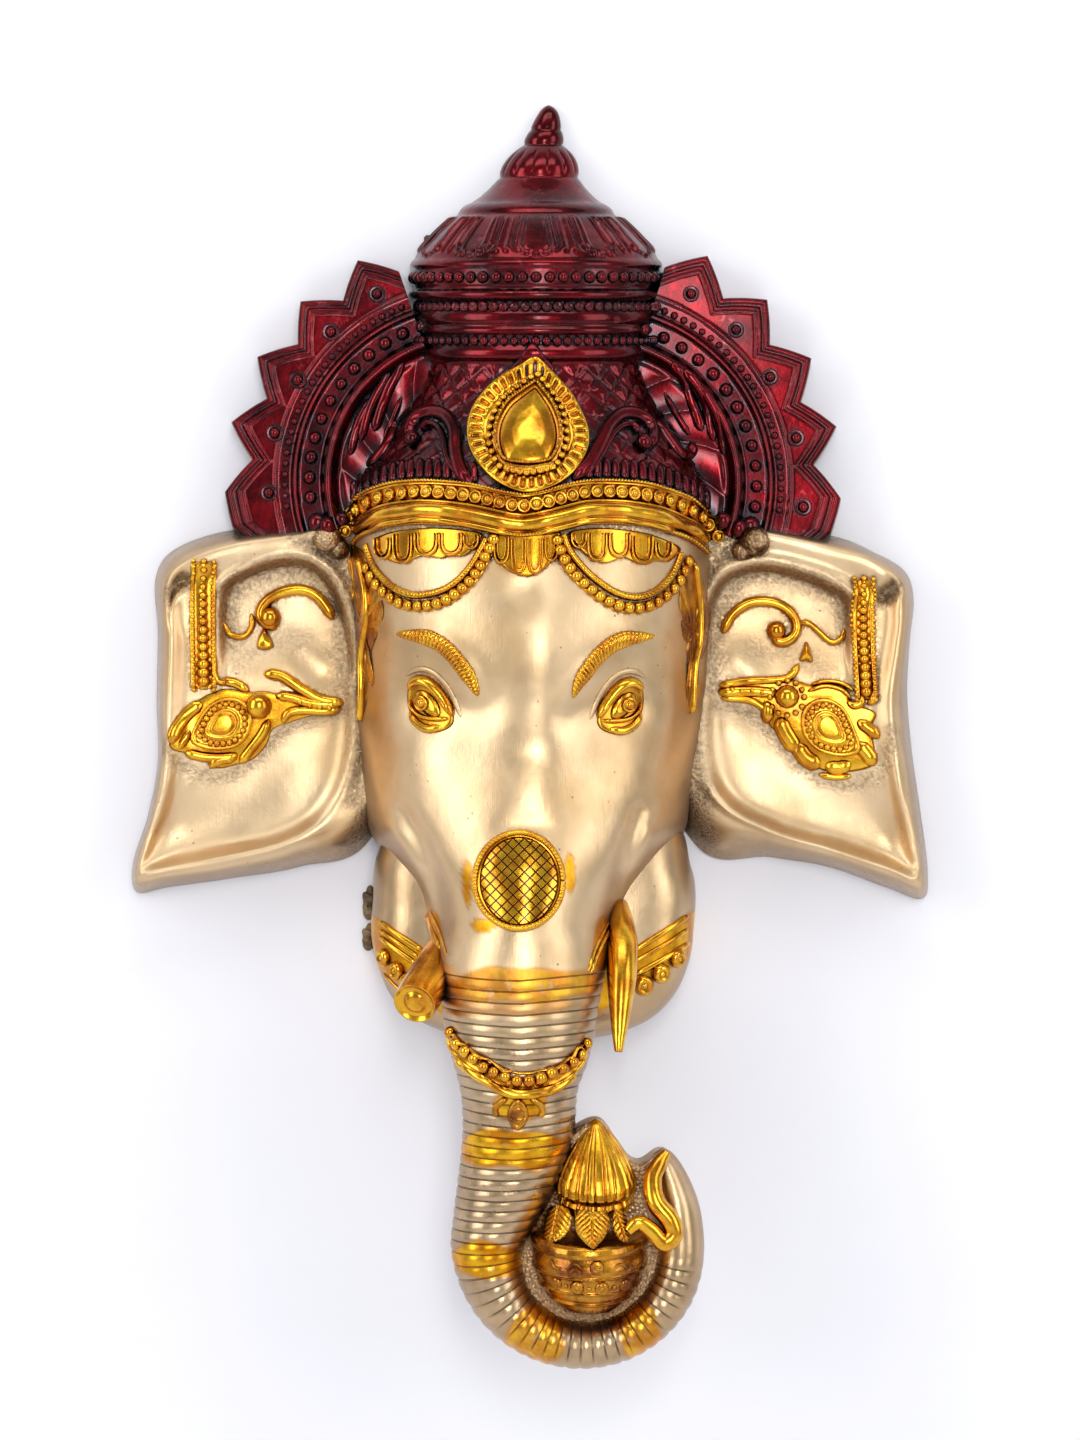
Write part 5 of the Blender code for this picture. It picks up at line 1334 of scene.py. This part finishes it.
def turned(name, profile, centre, around, steps, stoop, flutes=None):
    """A form turned about an upright axis, whose front hangs lower by a share of its radius."""
    profile = np.array(profile)

    def shape(u, v):
        where = v * (len(profile) - 1)
        radius, height = (np.interp(where, np.arange(len(profile)), profile[:, k]) for k in (0, 1))
        angle = u * 2 * math.pi
        if flutes:
            radius = radius + flutes(angle, height) * step(0.5, 6.0, radius)
        forward = radius * np.cos(angle)
        return np.stack([centre[0] + radius * np.sin(angle), -centre[1] - forward,
                         height - LINE_BELOW_BAR - stoop * forward], axis=1)
    return fold(name, around, steps, shape)


# %% Tusks
TUSKS = {
    "broken_left_tusk": [(-39.0, -303.0, 62.0, 9.0), (-45.0, -313.0, 80.0, 10.4), (-51.4, -323.4, 98.0, 10.8), (-54.6, -328.6, 107.0, 10.2)],
    "right_tusk": [
        (41.6, -286.0, 58.0, 6.0), (43.6, -300.0, 76.0, 7.6), (43.4, -316.0, 88.0, 7.2),
        (42.4, -334.0, 96.0, 5.0), (41.8, -346.0, 100.0, 2.9), (41.6, -351.6, 101.4, 1.9)]}
for name, rows in TUSKS.items():
    trunk_gold.append(tube(name, rows, 40, 70))

# %% Pot, coconut and web
WEB = [
    (-10.0, -446.0), (2.0, -400.0), (18.0, -391.0), (33.0, -386.0), (44.0, -401.0), (52.0, -406.0), (63.0, -401.0), (66.0, -420.0),
    (66.0, -446.0), (52.0, -476.0), (25.0, -486.0), (-2.0, -474.0)]
WEB_MIDDLE = (30.0, -440.0)
WEB_BACK = 62.0
WEB_FRONT = 91.0
OFFERING_AXIS = 88.0
POT_CENTRE = 28.0
COCONUT_CENTRE = 31.0
POT_STOOP = 0.2
COCONUT_STOOP = 0.28
POT_PROFILE = [
    (0.0, -436.4), (21.0, -436.6), (26.4, -436.8), (28.0, -438.2), (28.4, -440.6), (27.6, -442.6), (25.8, -443.4),
    (26.2, -444.4), (27.2, -446.4), (27.4, -448.8), (26.7, -451.4), (27.5, -452.1), (26.2, -453.0), (25.6, -455.6),
    (24.2, -459.0), (25.0, -459.9), (23.2, -460.8), (21.8, -463.6), (20.0, -465.6), (20.7, -466.5), (18.9, -467.4),
    (17.0, -469.8), (14.4, -472.2), (0.0, -472.8)]
COCONUT_PROFILE = [
    (0.0, -384.6), (2.8, -386.0), (6.6, -390.0), (10.8, -395.6), (14.8, -401.6), (17.8, -407.4), (19.6, -412.4),
    (19.6, -416.6), (17.6, -419.2), (18.4, -421.6), (16.6, -426.2), (0.0, -427.2)]


def web_shape(u, v):
    outline = smooth(WEB, u * len(WEB), closed=True)
    middle = np.array(WEB_MIDDLE)
    share = np.interp(v, [0, 0.5, 0.6, 0.66, 0.7, 1.0], [0.0, 0.96, 1.0, 1.0, 0.96, 0.0])
    height = np.interp(v, [0, 0.5, 0.6, 0.66, 0.7, 1.0], [WEB_FRONT, WEB_FRONT, WEB_FRONT - 2, WEB_BACK + 2, WEB_BACK, WEB_BACK])
    spot = middle + (outline - middle) * share[:, None]
    height = height + 0.5 * hand_wobble(spot[:, 0], spot[:, 1], 2.2, 1.7) * (v < 0.5)
    return np.stack([spot[:, 0], -height, spot[:, 1] - LINE_BELOW_BAR], axis=1)


def strands(angle, height):
    """Relief of coconut fibres that run down from the tip."""
    wander = 0.5 * np.sin(angle * 5 + height * 0.09) + 0.3 * np.sin(angle * 11 - height * 0.05)
    return -1.5 * np.clip(np.cos(angle * 24 + wander * 2), 0, 1) ** 4 * step(384, 402, -height)


bronze_pot = turned("pot", POT_PROFILE, (POT_CENTRE, OFFERING_AXIS), 96, 92, POT_STOOP)
coconut = turned("coconut", COCONUT_PROFILE, (COCONUT_CENTRE, OFFERING_AXIS), 260, 60, COCONUT_STOOP, strands)
web = fold("web", 120, 60, web_shape)
trunk_gold.append(coconut)
bronze.append(bronze_pot)

# %% Leaves and lip
LEAVES = {
    "left_leaf": [(553, 1206), (563, 1206), (571, 1214), (570, 1227), (562, 1238), (551, 1242), (542, 1236), (538, 1226), (543, 1212)],
    "middle_leaf": [(580, 1210), (592, 1212), (605, 1211), (610, 1222), (606, 1235), (599, 1244), (593, 1249), (585, 1243), (577, 1233), (575, 1221)],
    "right_leaf": [(616, 1209), (624, 1212), (628, 1222), (630, 1236), (625, 1242), (618, 1238), (613, 1228), (613, 1218)]}
LEAN = {"left_leaf": 0.22, "middle_leaf": 0.0, "right_leaf": -0.35}


def leaf_shape(outline, lean):
    edge = np.array(outline, float)
    centre = edge.mean(axis=0)

    def shape(u, v):
        share = np.interp(v, [0, 0.8, 0.9, 1.0], [0.0, 1.0, 0.96, 0.0])
        spot = centre + (smooth(edge, u * len(edge), closed=True) - centre) * share[:, None]
        down = spot[:, 1] - centre[1]
        across = spot[:, 0] - centre[0] + lean * down
        reach = 21.5 + 6.5 * np.clip((spot[:, 1] - 1208) / 38, 0, 1)
        from_axis = (spot[:, 0] - centre[0]) * 0.47 + (centre[0] - 593) * 0.47
        height = OFFERING_AXIS + np.sqrt(np.clip(reach ** 2 - from_axis ** 2, 4, None))
        vein = np.clip(np.cos(2 * math.pi * (down - 0.9 * np.abs(across)) / 5.4), 0, 1) ** 2 * step(0.8, 2.4, np.abs(across))
        rib = 1 - step(0.4, 1.6, np.abs(across))
        relief = 1.9 * (1 - share ** 4) - 1.0 * vein - 1.0 * rib
        height = np.where(v < 0.85, height + relief, height - 3.0)
        return np.stack(place_of(spot[:, 0], spot[:, 1], height), axis=1)
    return shape


for name, outline in LEAVES.items():
    trunk_gold.append(fold(name, 90, 44, leaf_shape(outline, LEAN[name])))
LIP = [
    (64.6, -399.5, 95.0, 2.2), (61.0, -404.5, 97.0, 3.8), (57.6, -412.0, 100.0, 4.5), (59.0, -422.0, 104.0, 4.7),
    (65.6, -430.4, 105.0, 4.8), (67.4, -437.0, 105.0, 4.6), (62.8, -441.0, 106.0, 4.3), (56.6, -434.8, 107.0, 4.0),
    (50.6, -431.4, 108.0, 3.6), (45.6, -435.4, 109.0, 2.4)]
trunk_gold.append(tube("trunk_lip", LIP, 28, 110))
skins = tree_of([bronze_pot, coconut, web] + [thing for name, thing in forms.items() if name != "crown"])
POT_STRIPS = [
    [(551, 1259), (555, 1268), (562, 1268)], [(566, 1271), (574, 1264), (583, 1270)], [(568, 1276), (575, 1269), (582, 1275)],
    [(592, 1266), (596, 1273), (602, 1266)], [(613, 1271), (620, 1264), (628, 1269)], [(632, 1262), (636, 1268), (641, 1262)]]
for number, path in enumerate(POT_STRIPS):
    bronze.append(strip(f"pot_scroll_{number}", path, round_bar(0.8, 0.9), 0.7, (1, 1)))
bronze.append(beads("pot_rings", [([(556, 1283), (577, 1288), (602, 1289), (625, 1285)], 3.4), ([(597, 1268)], 3.6)], "ringed", lift=-0.8))
bronze.append(beads("pot_dots", [([(566, 1286), (589, 1289), (614, 1287)], 1.2)], lift=0.1))

# %% Flash and hanging bar
BAR_HEIGHT = 10.0
BAR_THICKNESS = 4.0
BAR_REACH = float(np.interp(-LINE_BELOW_BAR, -crown_path[:, 1], crown_path[:, 0])) - 3.0
FLAKES = [((-80.6, -287.0), (7.0, 7.0, 15.0)), ((-80.8, -304.0), (7.0, 6.0, 12.0))]


def flakes():
    """Two ragged flakes of casting flash, from balls pushed about."""
    bm = bmesh.new()
    for (x, z), size in FLAKES:
        start = len(bm.verts)
        bmesh.ops.create_icosphere(bm, subdivisions=4, radius=0.5)
        bm.verts.ensure_lookup_table()
        for vert in bm.verts[start:]:
            ragged = 1 + 0.3 * math.sin(9 * vert.co.z + 3 * vert.co.x) * math.cos(7 * vert.co.y + 5 * vert.co.z)
            vert.co = [MM * (place + ragged * wide * value) for place, wide, value in
                       zip((x, -size[1] * 0.5, z - LINE_BELOW_BAR), size, vert.co)]
    return as_object("casting_flash", bm)


def hanging_bar():
    """The bar across the crown's hollow that hangs on the wall hook."""
    bm = bmesh.new()
    bmesh.ops.create_cube(bm, size=1.0)
    bmesh.ops.scale(bm, vec=(2 * BAR_REACH * MM, BAR_THICKNESS * MM, BAR_HEIGHT * MM), verts=bm.verts)
    bmesh.ops.translate(bm, vec=(0, -BAR_THICKNESS * MM / 2, 0), verts=bm.verts)
    bmesh.ops.bevel(bm, geom=bm.edges[:], offset=0.8 * MM, segments=3, affect="EDGES")
    return as_object("hanging_bar", bm)


raw = [flakes(), hanging_bar()]
print("flash and hanging bar made")

# %% [markdown]
# ## Gather the pieces
# Small ornaments of one finish are gathered into one piece each, which keeps the list of pieces
# short. Every piece rides the one body and takes its place in the casting.

# %% Gather the ornaments
def gather(name, things, material):
    """One piece from several, with one material."""
    bm = bmesh.new()
    for thing in things:
        bm.from_mesh(thing.data)
        bpy.data.objects.remove(thing)
    piece = as_object(name, bm)
    piece.data.materials.clear()
    piece.data.materials.append(material)
    return piece


materials = {name: bpy.data.materials.new(name) for name in ("gold_lacquer", "hatched_gold", "bronze_lacquer", "dark_knobs", "pale_web")}
pieces = list(forms.values())
pieces.append(gather("brow_gold", brow_gold, materials["gold_lacquer"]))
pieces.append(gather("face_gold", face_gold, materials["gold_lacquer"]))
pieces.append(gather("trunk_gold", trunk_gold, materials["gold_lacquer"]))
pieces.append(gather("mark_hatching", [mark_plate], materials["hatched_gold"]))
pieces.append(gather("red_ornaments", red + [backing], red_metal))
pieces.append(gather("bronze_ornaments", bronze, materials["bronze_lacquer"]))
pieces.append(gather("scribed_creases", creases, skin_metal))
pieces.append(gather("ear_knobs_pair", [knobs], materials["dark_knobs"]))
pieces.append(gather("curl_web", [web], materials["pale_web"]))
pieces.append(gather("flash_and_bar", raw, raw_metal))
for piece in pieces:
    print(piece.name, sum(len(face.vertices) - 2 for face in piece.data.polygons), "triangles")

# %% [markdown]
# ## Materials
# Each finish starts from the metal, and adds what the real one shows: lacquer that thins on high
# places and gathers in hollows, dark patina in the recesses, brushed scratches, pits and wear. The
# satin brass also carries painted shade on its sides, recesses, folds, ears' walls and jaw.

# %% Small helpers for nodes
def add(tree, kind, links=None, **settings):
    """One shader node; a link may be another node's socket or a plain value."""
    made = tree.nodes.new("ShaderNode" + kind)
    for key, value in settings.items():
        setattr(made, key, value)
    for key, value in (links or {}).items():
        if isinstance(value, bpy.types.NodeSocket):
            tree.links.new(value, made.inputs[key])
        else:
            made.inputs[key].default_value = value
    return made


def mix(tree, share, first, second):
    """Blend two colours."""
    return add(tree, "Mix", {0: share, 6: first, 7: second}, data_type="RGBA").outputs[2]


def blend(tree, operation, first, second=0.5):
    """One sum on numbers."""
    return add(tree, "Math", {0: first, 1: second}, operation=operation).outputs[0]


def mask(tree, value, low, high):
    """A soft mask that rises from nought at low to one at high."""
    return add(tree, "MapRange", {0: value, 1: low, 2: high, 3: 0.0, 4: 1.0}, interpolation_type="SMOOTHSTEP").outputs[0]


def grain(tree, scale, detail=4.0, stretch=(1, 1, 1)):
    """Noise over the object's own coordinates; scale is in spots per metre."""
    place = add(tree, "TexCoord").outputs["Object"]
    turned_place = add(tree, "Mapping", {"Vector": place, "Scale": stretch}).outputs[0]
    return add(tree, "TexNoise", {"Vector": turned_place, "Scale": scale, "Detail": detail, "Roughness": 0.6}).outputs[0]


def recess(tree, distance):
    """Nought deep in a groove and one in the open."""
    return add(tree, "AmbientOcclusion", {"Distance": distance}, samples=8).outputs["AO"]


def field(tree, name):
    """A number stored on the mesh."""
    return add(tree, "Attribute", attribute_name=name).outputs["Fac"]


def colour(red_part, green_part, blue_part):
    return (red_part, green_part, blue_part, 1.0)


def finish_metal(material, colour_out, rough, bumps, metallic=1.0, coat=0.0, coat_rough=0.1):
    """Wire colour, roughness and a stack of bumps into one metal shader."""
    tree = material.node_tree
    normal = None
    for height, depth, strength in bumps:
        links = {"Height": height, "Distance": depth, "Strength": strength}
        if normal is not None:
            links["Normal"] = normal
        normal = add(tree, "Bump", links).outputs[0]
    shader = add(tree, "BsdfPrincipled", {
        "Base Color": colour_out, "Roughness": rough, "Metallic": metallic,
        "Coat Weight": coat, "Coat Roughness": coat_rough, "Normal": normal})
    output = add(tree, "OutputMaterial", {"Surface": shader.outputs[0]})
    output.target = "ALL"
    print(material.name, len(tree.nodes), "nodes")


def start(material):
    """Empty a material's node tree."""
    material.use_nodes = True
    material.node_tree.nodes.clear()
    return material.node_tree


# %% Colours of the finishes
PALE_BRASS = colour(0.72, 0.53, 0.315)
WARM_BRASS = colour(0.58, 0.395, 0.205)
# Tarnish on the trunk, and painted shade on the ears' walls and the jaw.
TARNISH_AND_SHADE_BROWN = colour(0.36, 0.25, 0.15)
# Painted shade on the skin's steep sides, and the dark of the stipple on knobs and web.
SIDE_SHADE_AND_STIPPLE_BROWN = colour(0.42, 0.28, 0.17)
# Dirt and painted shade in the skin's folds and recesses.
GREY_DIRT_AND_SHADE = colour(0.13, 0.095, 0.065)
# Engraved lines, pits, and patina with painted shade in the skin's recesses.
DARK_PATINA_AND_SHADE = colour(0.045, 0.03, 0.018)
LACQUER_YELLOW = colour(0.80, 0.43, 0.022)
LACQUER_AMBER = colour(0.54, 0.20, 0.006)
LACQUER_UMBER = colour(0.07, 0.022, 0.003)
BRONZE_LIGHT = colour(0.60, 0.27, 0.016)
BRONZE_DARK = colour(0.18, 0.042, 0.004)
RED_DEEP = colour(0.052, 0.001, 0.0024)
RED_BRIGHT = colour(0.15, 0.0025, 0.006)
RED_WORN = colour(0.36, 0.06, 0.065)
GREY_PATINA = colour(0.028, 0.030, 0.036)

# %% [markdown]
# ### Satin brass
# The face is brushed to a pale satin with warm clouds. Its steep sides get painted shade, darker
# and browner, the grooves of the rolls hold dark patina, and yellow lacquer is brushed over a few of
# them. The trunk's rolls are tarnished, the ears' walls and the jaw get painted shade, the ears'
# folds dirt and painted shade, and the recesses patina and painted shade.

# %% Satin brass
def lacquer_over(tree, base, share):
    """Yellow lacquer brushed over a metal colour where share is near one."""
    tone = mix(tree, mask(tree, grain(tree, 60.0), 0.35, 0.60), LACQUER_YELLOW, LACQUER_AMBER)
    tone = mix(tree, mask(tree, share, 0.96, 0.55), tone, LACQUER_AMBER)
    torn = blend(tree, "MULTIPLY", share, mask(tree, grain(tree, 150.0), 0.18, 0.42))
    return mix(tree, torn, base, tone)


tree = start(skin_metal)
clouds = mix(tree, mask(tree, grain(tree, 16.0), 0.38, 0.66), PALE_BRASS, WARM_BRASS)
# Painted shade: sides that turn away from the front are painted darker and browner.
side_way = add(tree, "SeparateXYZ", {0: add(tree, "TexCoord").outputs["Normal"]}).outputs["Y"]
side_shade_mask = mask(tree, blend(tree, "ADD", side_way, blend(tree, "MULTIPLY", grain(tree, 40.0), 0.22)), -0.66, -0.02)
skin = mix(tree, side_shade_mask, clouds, SIDE_SHADE_AND_STIPPLE_BROWN)
# Tarnish on the trunk's rolls, and painted shade on the ears' walls and the jaw, in patchy brown.
patchy = add(tree, "MapRange", {0: grain(tree, 55.0), 1: 0.35, 2: 0.65, 3: 0.35, 4: 0.85}).outputs[0]
skin = mix(tree, blend(tree, "MULTIPLY", field(tree, "tarnish_and_shade"), patchy), skin, TARNISH_AND_SHADE_BROWN)
skin = lacquer_over(tree, skin, field(tree, "gold"))
line_place = blend(tree, "ABSOLUTE", blend(tree, "SUBTRACT", blend(tree, "FRACT", blend(tree, "ADD", field(tree, "rolls"), 0.5)), 0.5))
line = blend(tree, "MULTIPLY", mask(tree, line_place, 0.085, 0.03), field(tree, "drawn"))
line = blend(tree, "MULTIPLY", line, mask(tree, grain(tree, 120.0), 0.22, 0.4))
skin = mix(tree, blend(tree, "MULTIPLY", line, 0.6), skin, DARK_PATINA_AND_SHADE)
# Patina and painted shade in the recesses.
recess_patina_and_shade = mask(tree, recess(tree, 0.006), 0.62, 0.16)
skin = mix(tree, blend(tree, "MULTIPLY", recess_patina_and_shade, 0.7), skin, DARK_PATINA_AND_SHADE)
cells = add(tree, "TexVoronoi", {"Vector": add(tree, "TexCoord").outputs["Object"], "Scale": 150.0}).outputs["Distance"]
pits = blend(tree, "MULTIPLY", mask(tree, cells, 0.09, 0.04), mask(tree, grain(tree, 24.0), 0.45, 0.6))
skin = mix(tree, blend(tree, "MULTIPLY", pits, 0.6), skin, DARK_PATINA_AND_SHADE)
# Speckled dirt and painted shade in the recesses of the upper part.
recess_dirt_and_shade = blend(tree, "MULTIPLY", mask(tree, recess(tree, 0.024), 0.86, 0.50), mask(tree, grain(tree, 620.0), 0.44, 0.58))
up_high = add(tree, "SeparateXYZ", {0: add(tree, "TexCoord").outputs["Object"]}).outputs["Z"]
recess_dirt_and_shade = blend(tree, "MULTIPLY", recess_dirt_and_shade, mask(tree, up_high, -0.33, -0.29))
speckle = add(tree, "MapRange", {0: grain(tree, 520.0), 1: 0.40, 2: 0.62, 3: 0.35, 4: 1.0}).outputs[0]
# Speckled dirt and painted shade along the ears' folds.
fold_dirt_and_shade = blend(tree, "MULTIPLY", field(tree, "fold_dirt_and_shade"), speckle)
skin = mix(tree, blend(tree, "MULTIPLY", fold_dirt_and_shade, 0.85), skin, GREY_DIRT_AND_SHADE)
skin = mix(tree, blend(tree, "MULTIPLY", recess_dirt_and_shade, 0.6), skin, GREY_DIRT_AND_SHADE)
brushed = grain(tree, 300.0, 3.0, (6.0, 1.0, 0.25))
rough = add(tree, "MapRange", {0: grain(tree, 45.0), 1: 0.3, 2: 0.7, 3: 0.34, 4: 0.46}).outputs[0]
rough = blend(tree, "SUBTRACT", rough, blend(tree, "MULTIPLY", field(tree, "tarnish_and_shade"), 0.1))
finish_metal(skin_metal, skin, rough, [
    (line, -0.0010, 0.9), (grain(tree, 70.0), 0.0010, 0.3), (brushed, 0.0002, 0.25), (recess_dirt_and_shade, -0.0006, 0.6), (fold_dirt_and_shade, -0.0005, 0.6), (pits, -0.0006, 0.5)])

# %% [markdown]
# ### Lacquers
# The jewellery is coated with a clear yellow lacquer that turns amber where it runs thick. The
# crown has the same coat in deep red over blackened metal, rubbed thin on its high places.

# %% Gold lacquer
def gold_finish(material, hatching=None):
    """Yellow lacquer with dark hollows, and engraved crossing lines where asked."""
    tree = start(material)
    tone = mix(tree, mask(tree, grain(tree, 75.0), 0.38, 0.66), LACQUER_YELLOW, LACQUER_AMBER)
    open_air = recess(tree, 0.006)
    tone = mix(tree, mask(tree, open_air, 0.86, 0.55), tone, LACQUER_AMBER)
    tone = mix(tree, mask(tree, open_air, 0.62, 0.22), tone, LACQUER_UMBER)
    bumps = [(grain(tree, 130.0), 0.0004, 0.25), (grain(tree, 700.0, 2.0), 0.0001, 0.2)]
    if hatching:
        across, down = field(tree, "px"), field(tree, "py")
        for operation in ("ADD", "SUBTRACT"):
            place = blend(tree, "MULTIPLY", blend(tree, operation, across, down), 1.0 / hatching)
            near = blend(tree, "ABSOLUTE", blend(tree, "SUBTRACT", blend(tree, "FRACT", place), 0.5))
            groove = mask(tree, near, 0.11, 0.06)
            tone = mix(tree, groove, tone, LACQUER_UMBER)
            bumps.append((groove, -0.0008, 0.8))
    rough = add(tree, "MapRange", {0: grain(tree, 110.0), 1: 0.3, 2: 0.7, 3: 0.16, 4: 0.30}).outputs[0]
    finish_metal(material, tone, rough, bumps, coat=0.3, coat_rough=0.1)


gold_finish(materials["gold_lacquer"])
gold_finish(materials["hatched_gold"], hatching=11.4)

# %% Bronze lacquer
tree = start(materials["bronze_lacquer"])
tone = mix(tree, mask(tree, grain(tree, 55.0), 0.36, 0.64), BRONZE_LIGHT, BRONZE_DARK)
tone = mix(tree, mask(tree, recess(tree, 0.0045), 0.55, 0.12), tone, LACQUER_UMBER)
rough = add(tree, "MapRange", {0: grain(tree, 90.0), 1: 0.3, 2: 0.7, 3: 0.2, 4: 0.36}).outputs[0]
finish_metal(materials["bronze_lacquer"], tone, rough, [(grain(tree, 130.0), 0.0008, 0.4), (grain(tree, 800.0, 2.0), 0.0002, 0.3)],
             coat=0.3, coat_rough=0.14)

# %% Red lacquer
tree = start(red_metal)
tone = mix(tree, mask(tree, grain(tree, 42.0), 0.36, 0.66), RED_BRIGHT, RED_DEEP)
worn = mask(tree, grain(tree, 130.0), 0.60, 0.74)
tone = mix(tree, blend(tree, "MULTIPLY", worn, 0.5), tone, RED_WORN)
open_air = recess(tree, 0.009)
black = mask(tree, blend(tree, "ADD", open_air, blend(tree, "MULTIPLY", grain(tree, 90.0), 0.4)), 1.08, 0.62)
tone = mix(tree, black, tone, GREY_PATINA)
crisp = mask(tree, recess(tree, 0.0035), 0.80, 0.40)
tone = mix(tree, blend(tree, "MULTIPLY", crisp, 0.85), tone, GREY_PATINA)
rough = add(tree, "MapRange", {0: grain(tree, 120.0), 1: 0.3, 2: 0.7, 3: 0.17, 4: 0.36}).outputs[0]
finish_metal(red_metal, tone, rough, [
    (grain(tree, 85.0), 0.0005, 0.35), (grain(tree, 380.0, 3.0), 0.0003, 0.35)], metallic=1.0, coat=0.3, coat_rough=0.1)

# %% Dark stippled brass and the raw casting
for name, light, dark, low, high in (
        ("dark_knobs", WARM_BRASS, SIDE_SHADE_AND_STIPPLE_BROWN, 0.40, 0.60), ("pale_web", WARM_BRASS, SIDE_SHADE_AND_STIPPLE_BROWN, 0.56, 0.76)):
    tree = start(materials[name])
    stipple = add(tree, "TexVoronoi", {"Vector": add(tree, "TexCoord").outputs["Object"], "Scale": 620.0}).outputs["Distance"]
    tone = mix(tree, mask(tree, stipple, 0.25, 0.8), light, dark)
    tone = mix(tree, mask(tree, grain(tree, 70.0), low, high), tone, LACQUER_UMBER)
    tone = mix(tree, mask(tree, recess(tree, 0.010), 0.80, 0.25), tone, LACQUER_UMBER)
    finish_metal(materials[name], tone, 0.42, [(stipple, -0.0008, 0.8), (grain(tree, 200.0), 0.0006, 0.4)])

tree = start(raw_metal)
tone = mix(tree, mask(tree, grain(tree, 48.0), 0.35, 0.65), colour(0.30, 0.22, 0.12), colour(0.10, 0.07, 0.045))
tone = mix(tree, mask(tree, grain(tree, 300.0), 0.60, 0.70), tone, colour(0.03, 0.025, 0.02))
finish_metal(raw_metal, tone, 0.6, [(grain(tree, 160.0, 6.0), 0.0020, 0.7)], metallic=0.85)

# %% [markdown]
# ## Camera, wall and light
# The camera stands where the photograph was taken from, level with the mouth. The wall is pale and
# catches a soft shadow. It shows nothing from behind, so that the hollow back can be looked at.

# %% Camera
lens = bpy.data.cameras.new("photo_view")
lens.lens = 90
lens.sensor_width = 36
camera = bpy.data.objects.new("photo_view", lens)
bpy.context.scene.collection.objects.link(camera)
camera.location = Vector(EYE) * MM
camera.rotation_euler = (math.radians(90), 0, 0)
bpy.context.scene.camera = camera
bpy.context.scene.view_settings.view_transform = "Standard"

# %% Wall and floor
WALL_GAP = 0.0015
FLOOR_BELOW = -0.95
WALL_SIDE = 3.2


def plain_stage(name, turned_up, place, tint, see_through):
    """A pale plane that belongs to the studio, not to the object."""
    bm = bmesh.new()
    bmesh.ops.create_grid(bm, x_segments=2, y_segments=2, size=WALL_SIDE / 2)
    if turned_up:
        bmesh.ops.rotate(bm, verts=bm.verts, cent=(0, 0, 0), matrix=Matrix.Rotation(math.radians(90), 3, "X"))
    bmesh.ops.translate(bm, verts=bm.verts, vec=place)
    mesh = bpy.data.meshes.new(name)
    bm.to_mesh(mesh)
    bm.free()
    thing = bpy.data.objects.new(name, mesh)
    bpy.context.scene.collection.objects.link(thing)
    paint = bpy.data.materials.new(name + "_paint")
    tree = start(paint)
    shade = mix(tree, mask(tree, grain(tree, 3.0), 0.3, 0.7), colour(*tint), colour(*[0.97 * part for part in tint]))
    shader = add(tree, "BsdfPrincipled", {"Base Color": shade, "Roughness": 0.9}).outputs[0]
    if see_through:
        clear = add(tree, "BsdfTransparent").outputs[0]
        shader = add(tree, "MixShader", {0: add(tree, "NewGeometry").outputs["Backfacing"], 1: shader, 2: clear}).outputs[0]
    add(tree, "OutputMaterial", {"Surface": shader})
    mesh.materials.append(paint)
    return thing


wall = plain_stage("studio_wall", True, (0, WALL_GAP, FLOOR_BELOW + WALL_SIDE / 2), (0.80, 0.80, 0.84), True)
floor = plain_stage("studio_floor", False, (0, -WALL_SIDE / 2, FLOOR_BELOW), (0.80, 0.80, 0.83), False)

# %% Lights
def softbox(name, place, wide, tall, power, tint=(1.0, 1.0, 1.0), aim=(0, 0, -0.24)):
    """A large soft light turned to the object."""
    light = bpy.data.lights.new(name, "AREA")
    light.shape = "RECTANGLE"
    light.size = wide
    light.size_y = tall
    light.energy = power
    light.color = tint
    lamp = bpy.data.objects.new(name, light)
    bpy.context.scene.collection.objects.link(lamp)
    lamp.location = place
    lamp.rotation_euler = (Vector(aim) - Vector(place)).to_track_quat("-Z", "Y").to_euler()


softbox("front_light", (0.16, -2.1, 0.10), 0.45, 1.3, 13)
softbox("strip_light", (0.07, -2.0, 0.05), 0.12, 0.9, 3.4)
softbox("left_light", (-1.5, -1.1, 0.25), 0.7, 1.8, 16)
softbox("right_light", (1.5, -1.1, 0.20), 0.7, 1.8, 12)
softbox("top_light", (0.0, -0.9, 1.4), 1.6, 0.5, 9)
world = bpy.data.worlds.new("studio")
bpy.context.scene.world = world
world.use_nodes = True
world.node_tree.nodes["Background"].inputs["Color"].default_value = (0.80, 0.82, 0.86, 1.0)
world.node_tree.nodes["Background"].inputs["Strength"].default_value = 0.42

# %% [markdown]
# ## Fasten everything and finish
# Each piece rides the one body. Together they stand for the packed casting. The two boxes,
# before and after, are printed to compare sizes.

# %% Rides and boxes
for piece in pieces:
    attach(piece, "root")
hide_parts("ganesha_mask")
wall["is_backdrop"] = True
floor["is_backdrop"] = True
boxes = {"cad": (cad_low, cad_high), "scene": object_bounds()}
boxes = {name: [[float(value) for value in corner] for corner in box] for name, box in boxes.items()}
print("boxes in metres:", boxes)
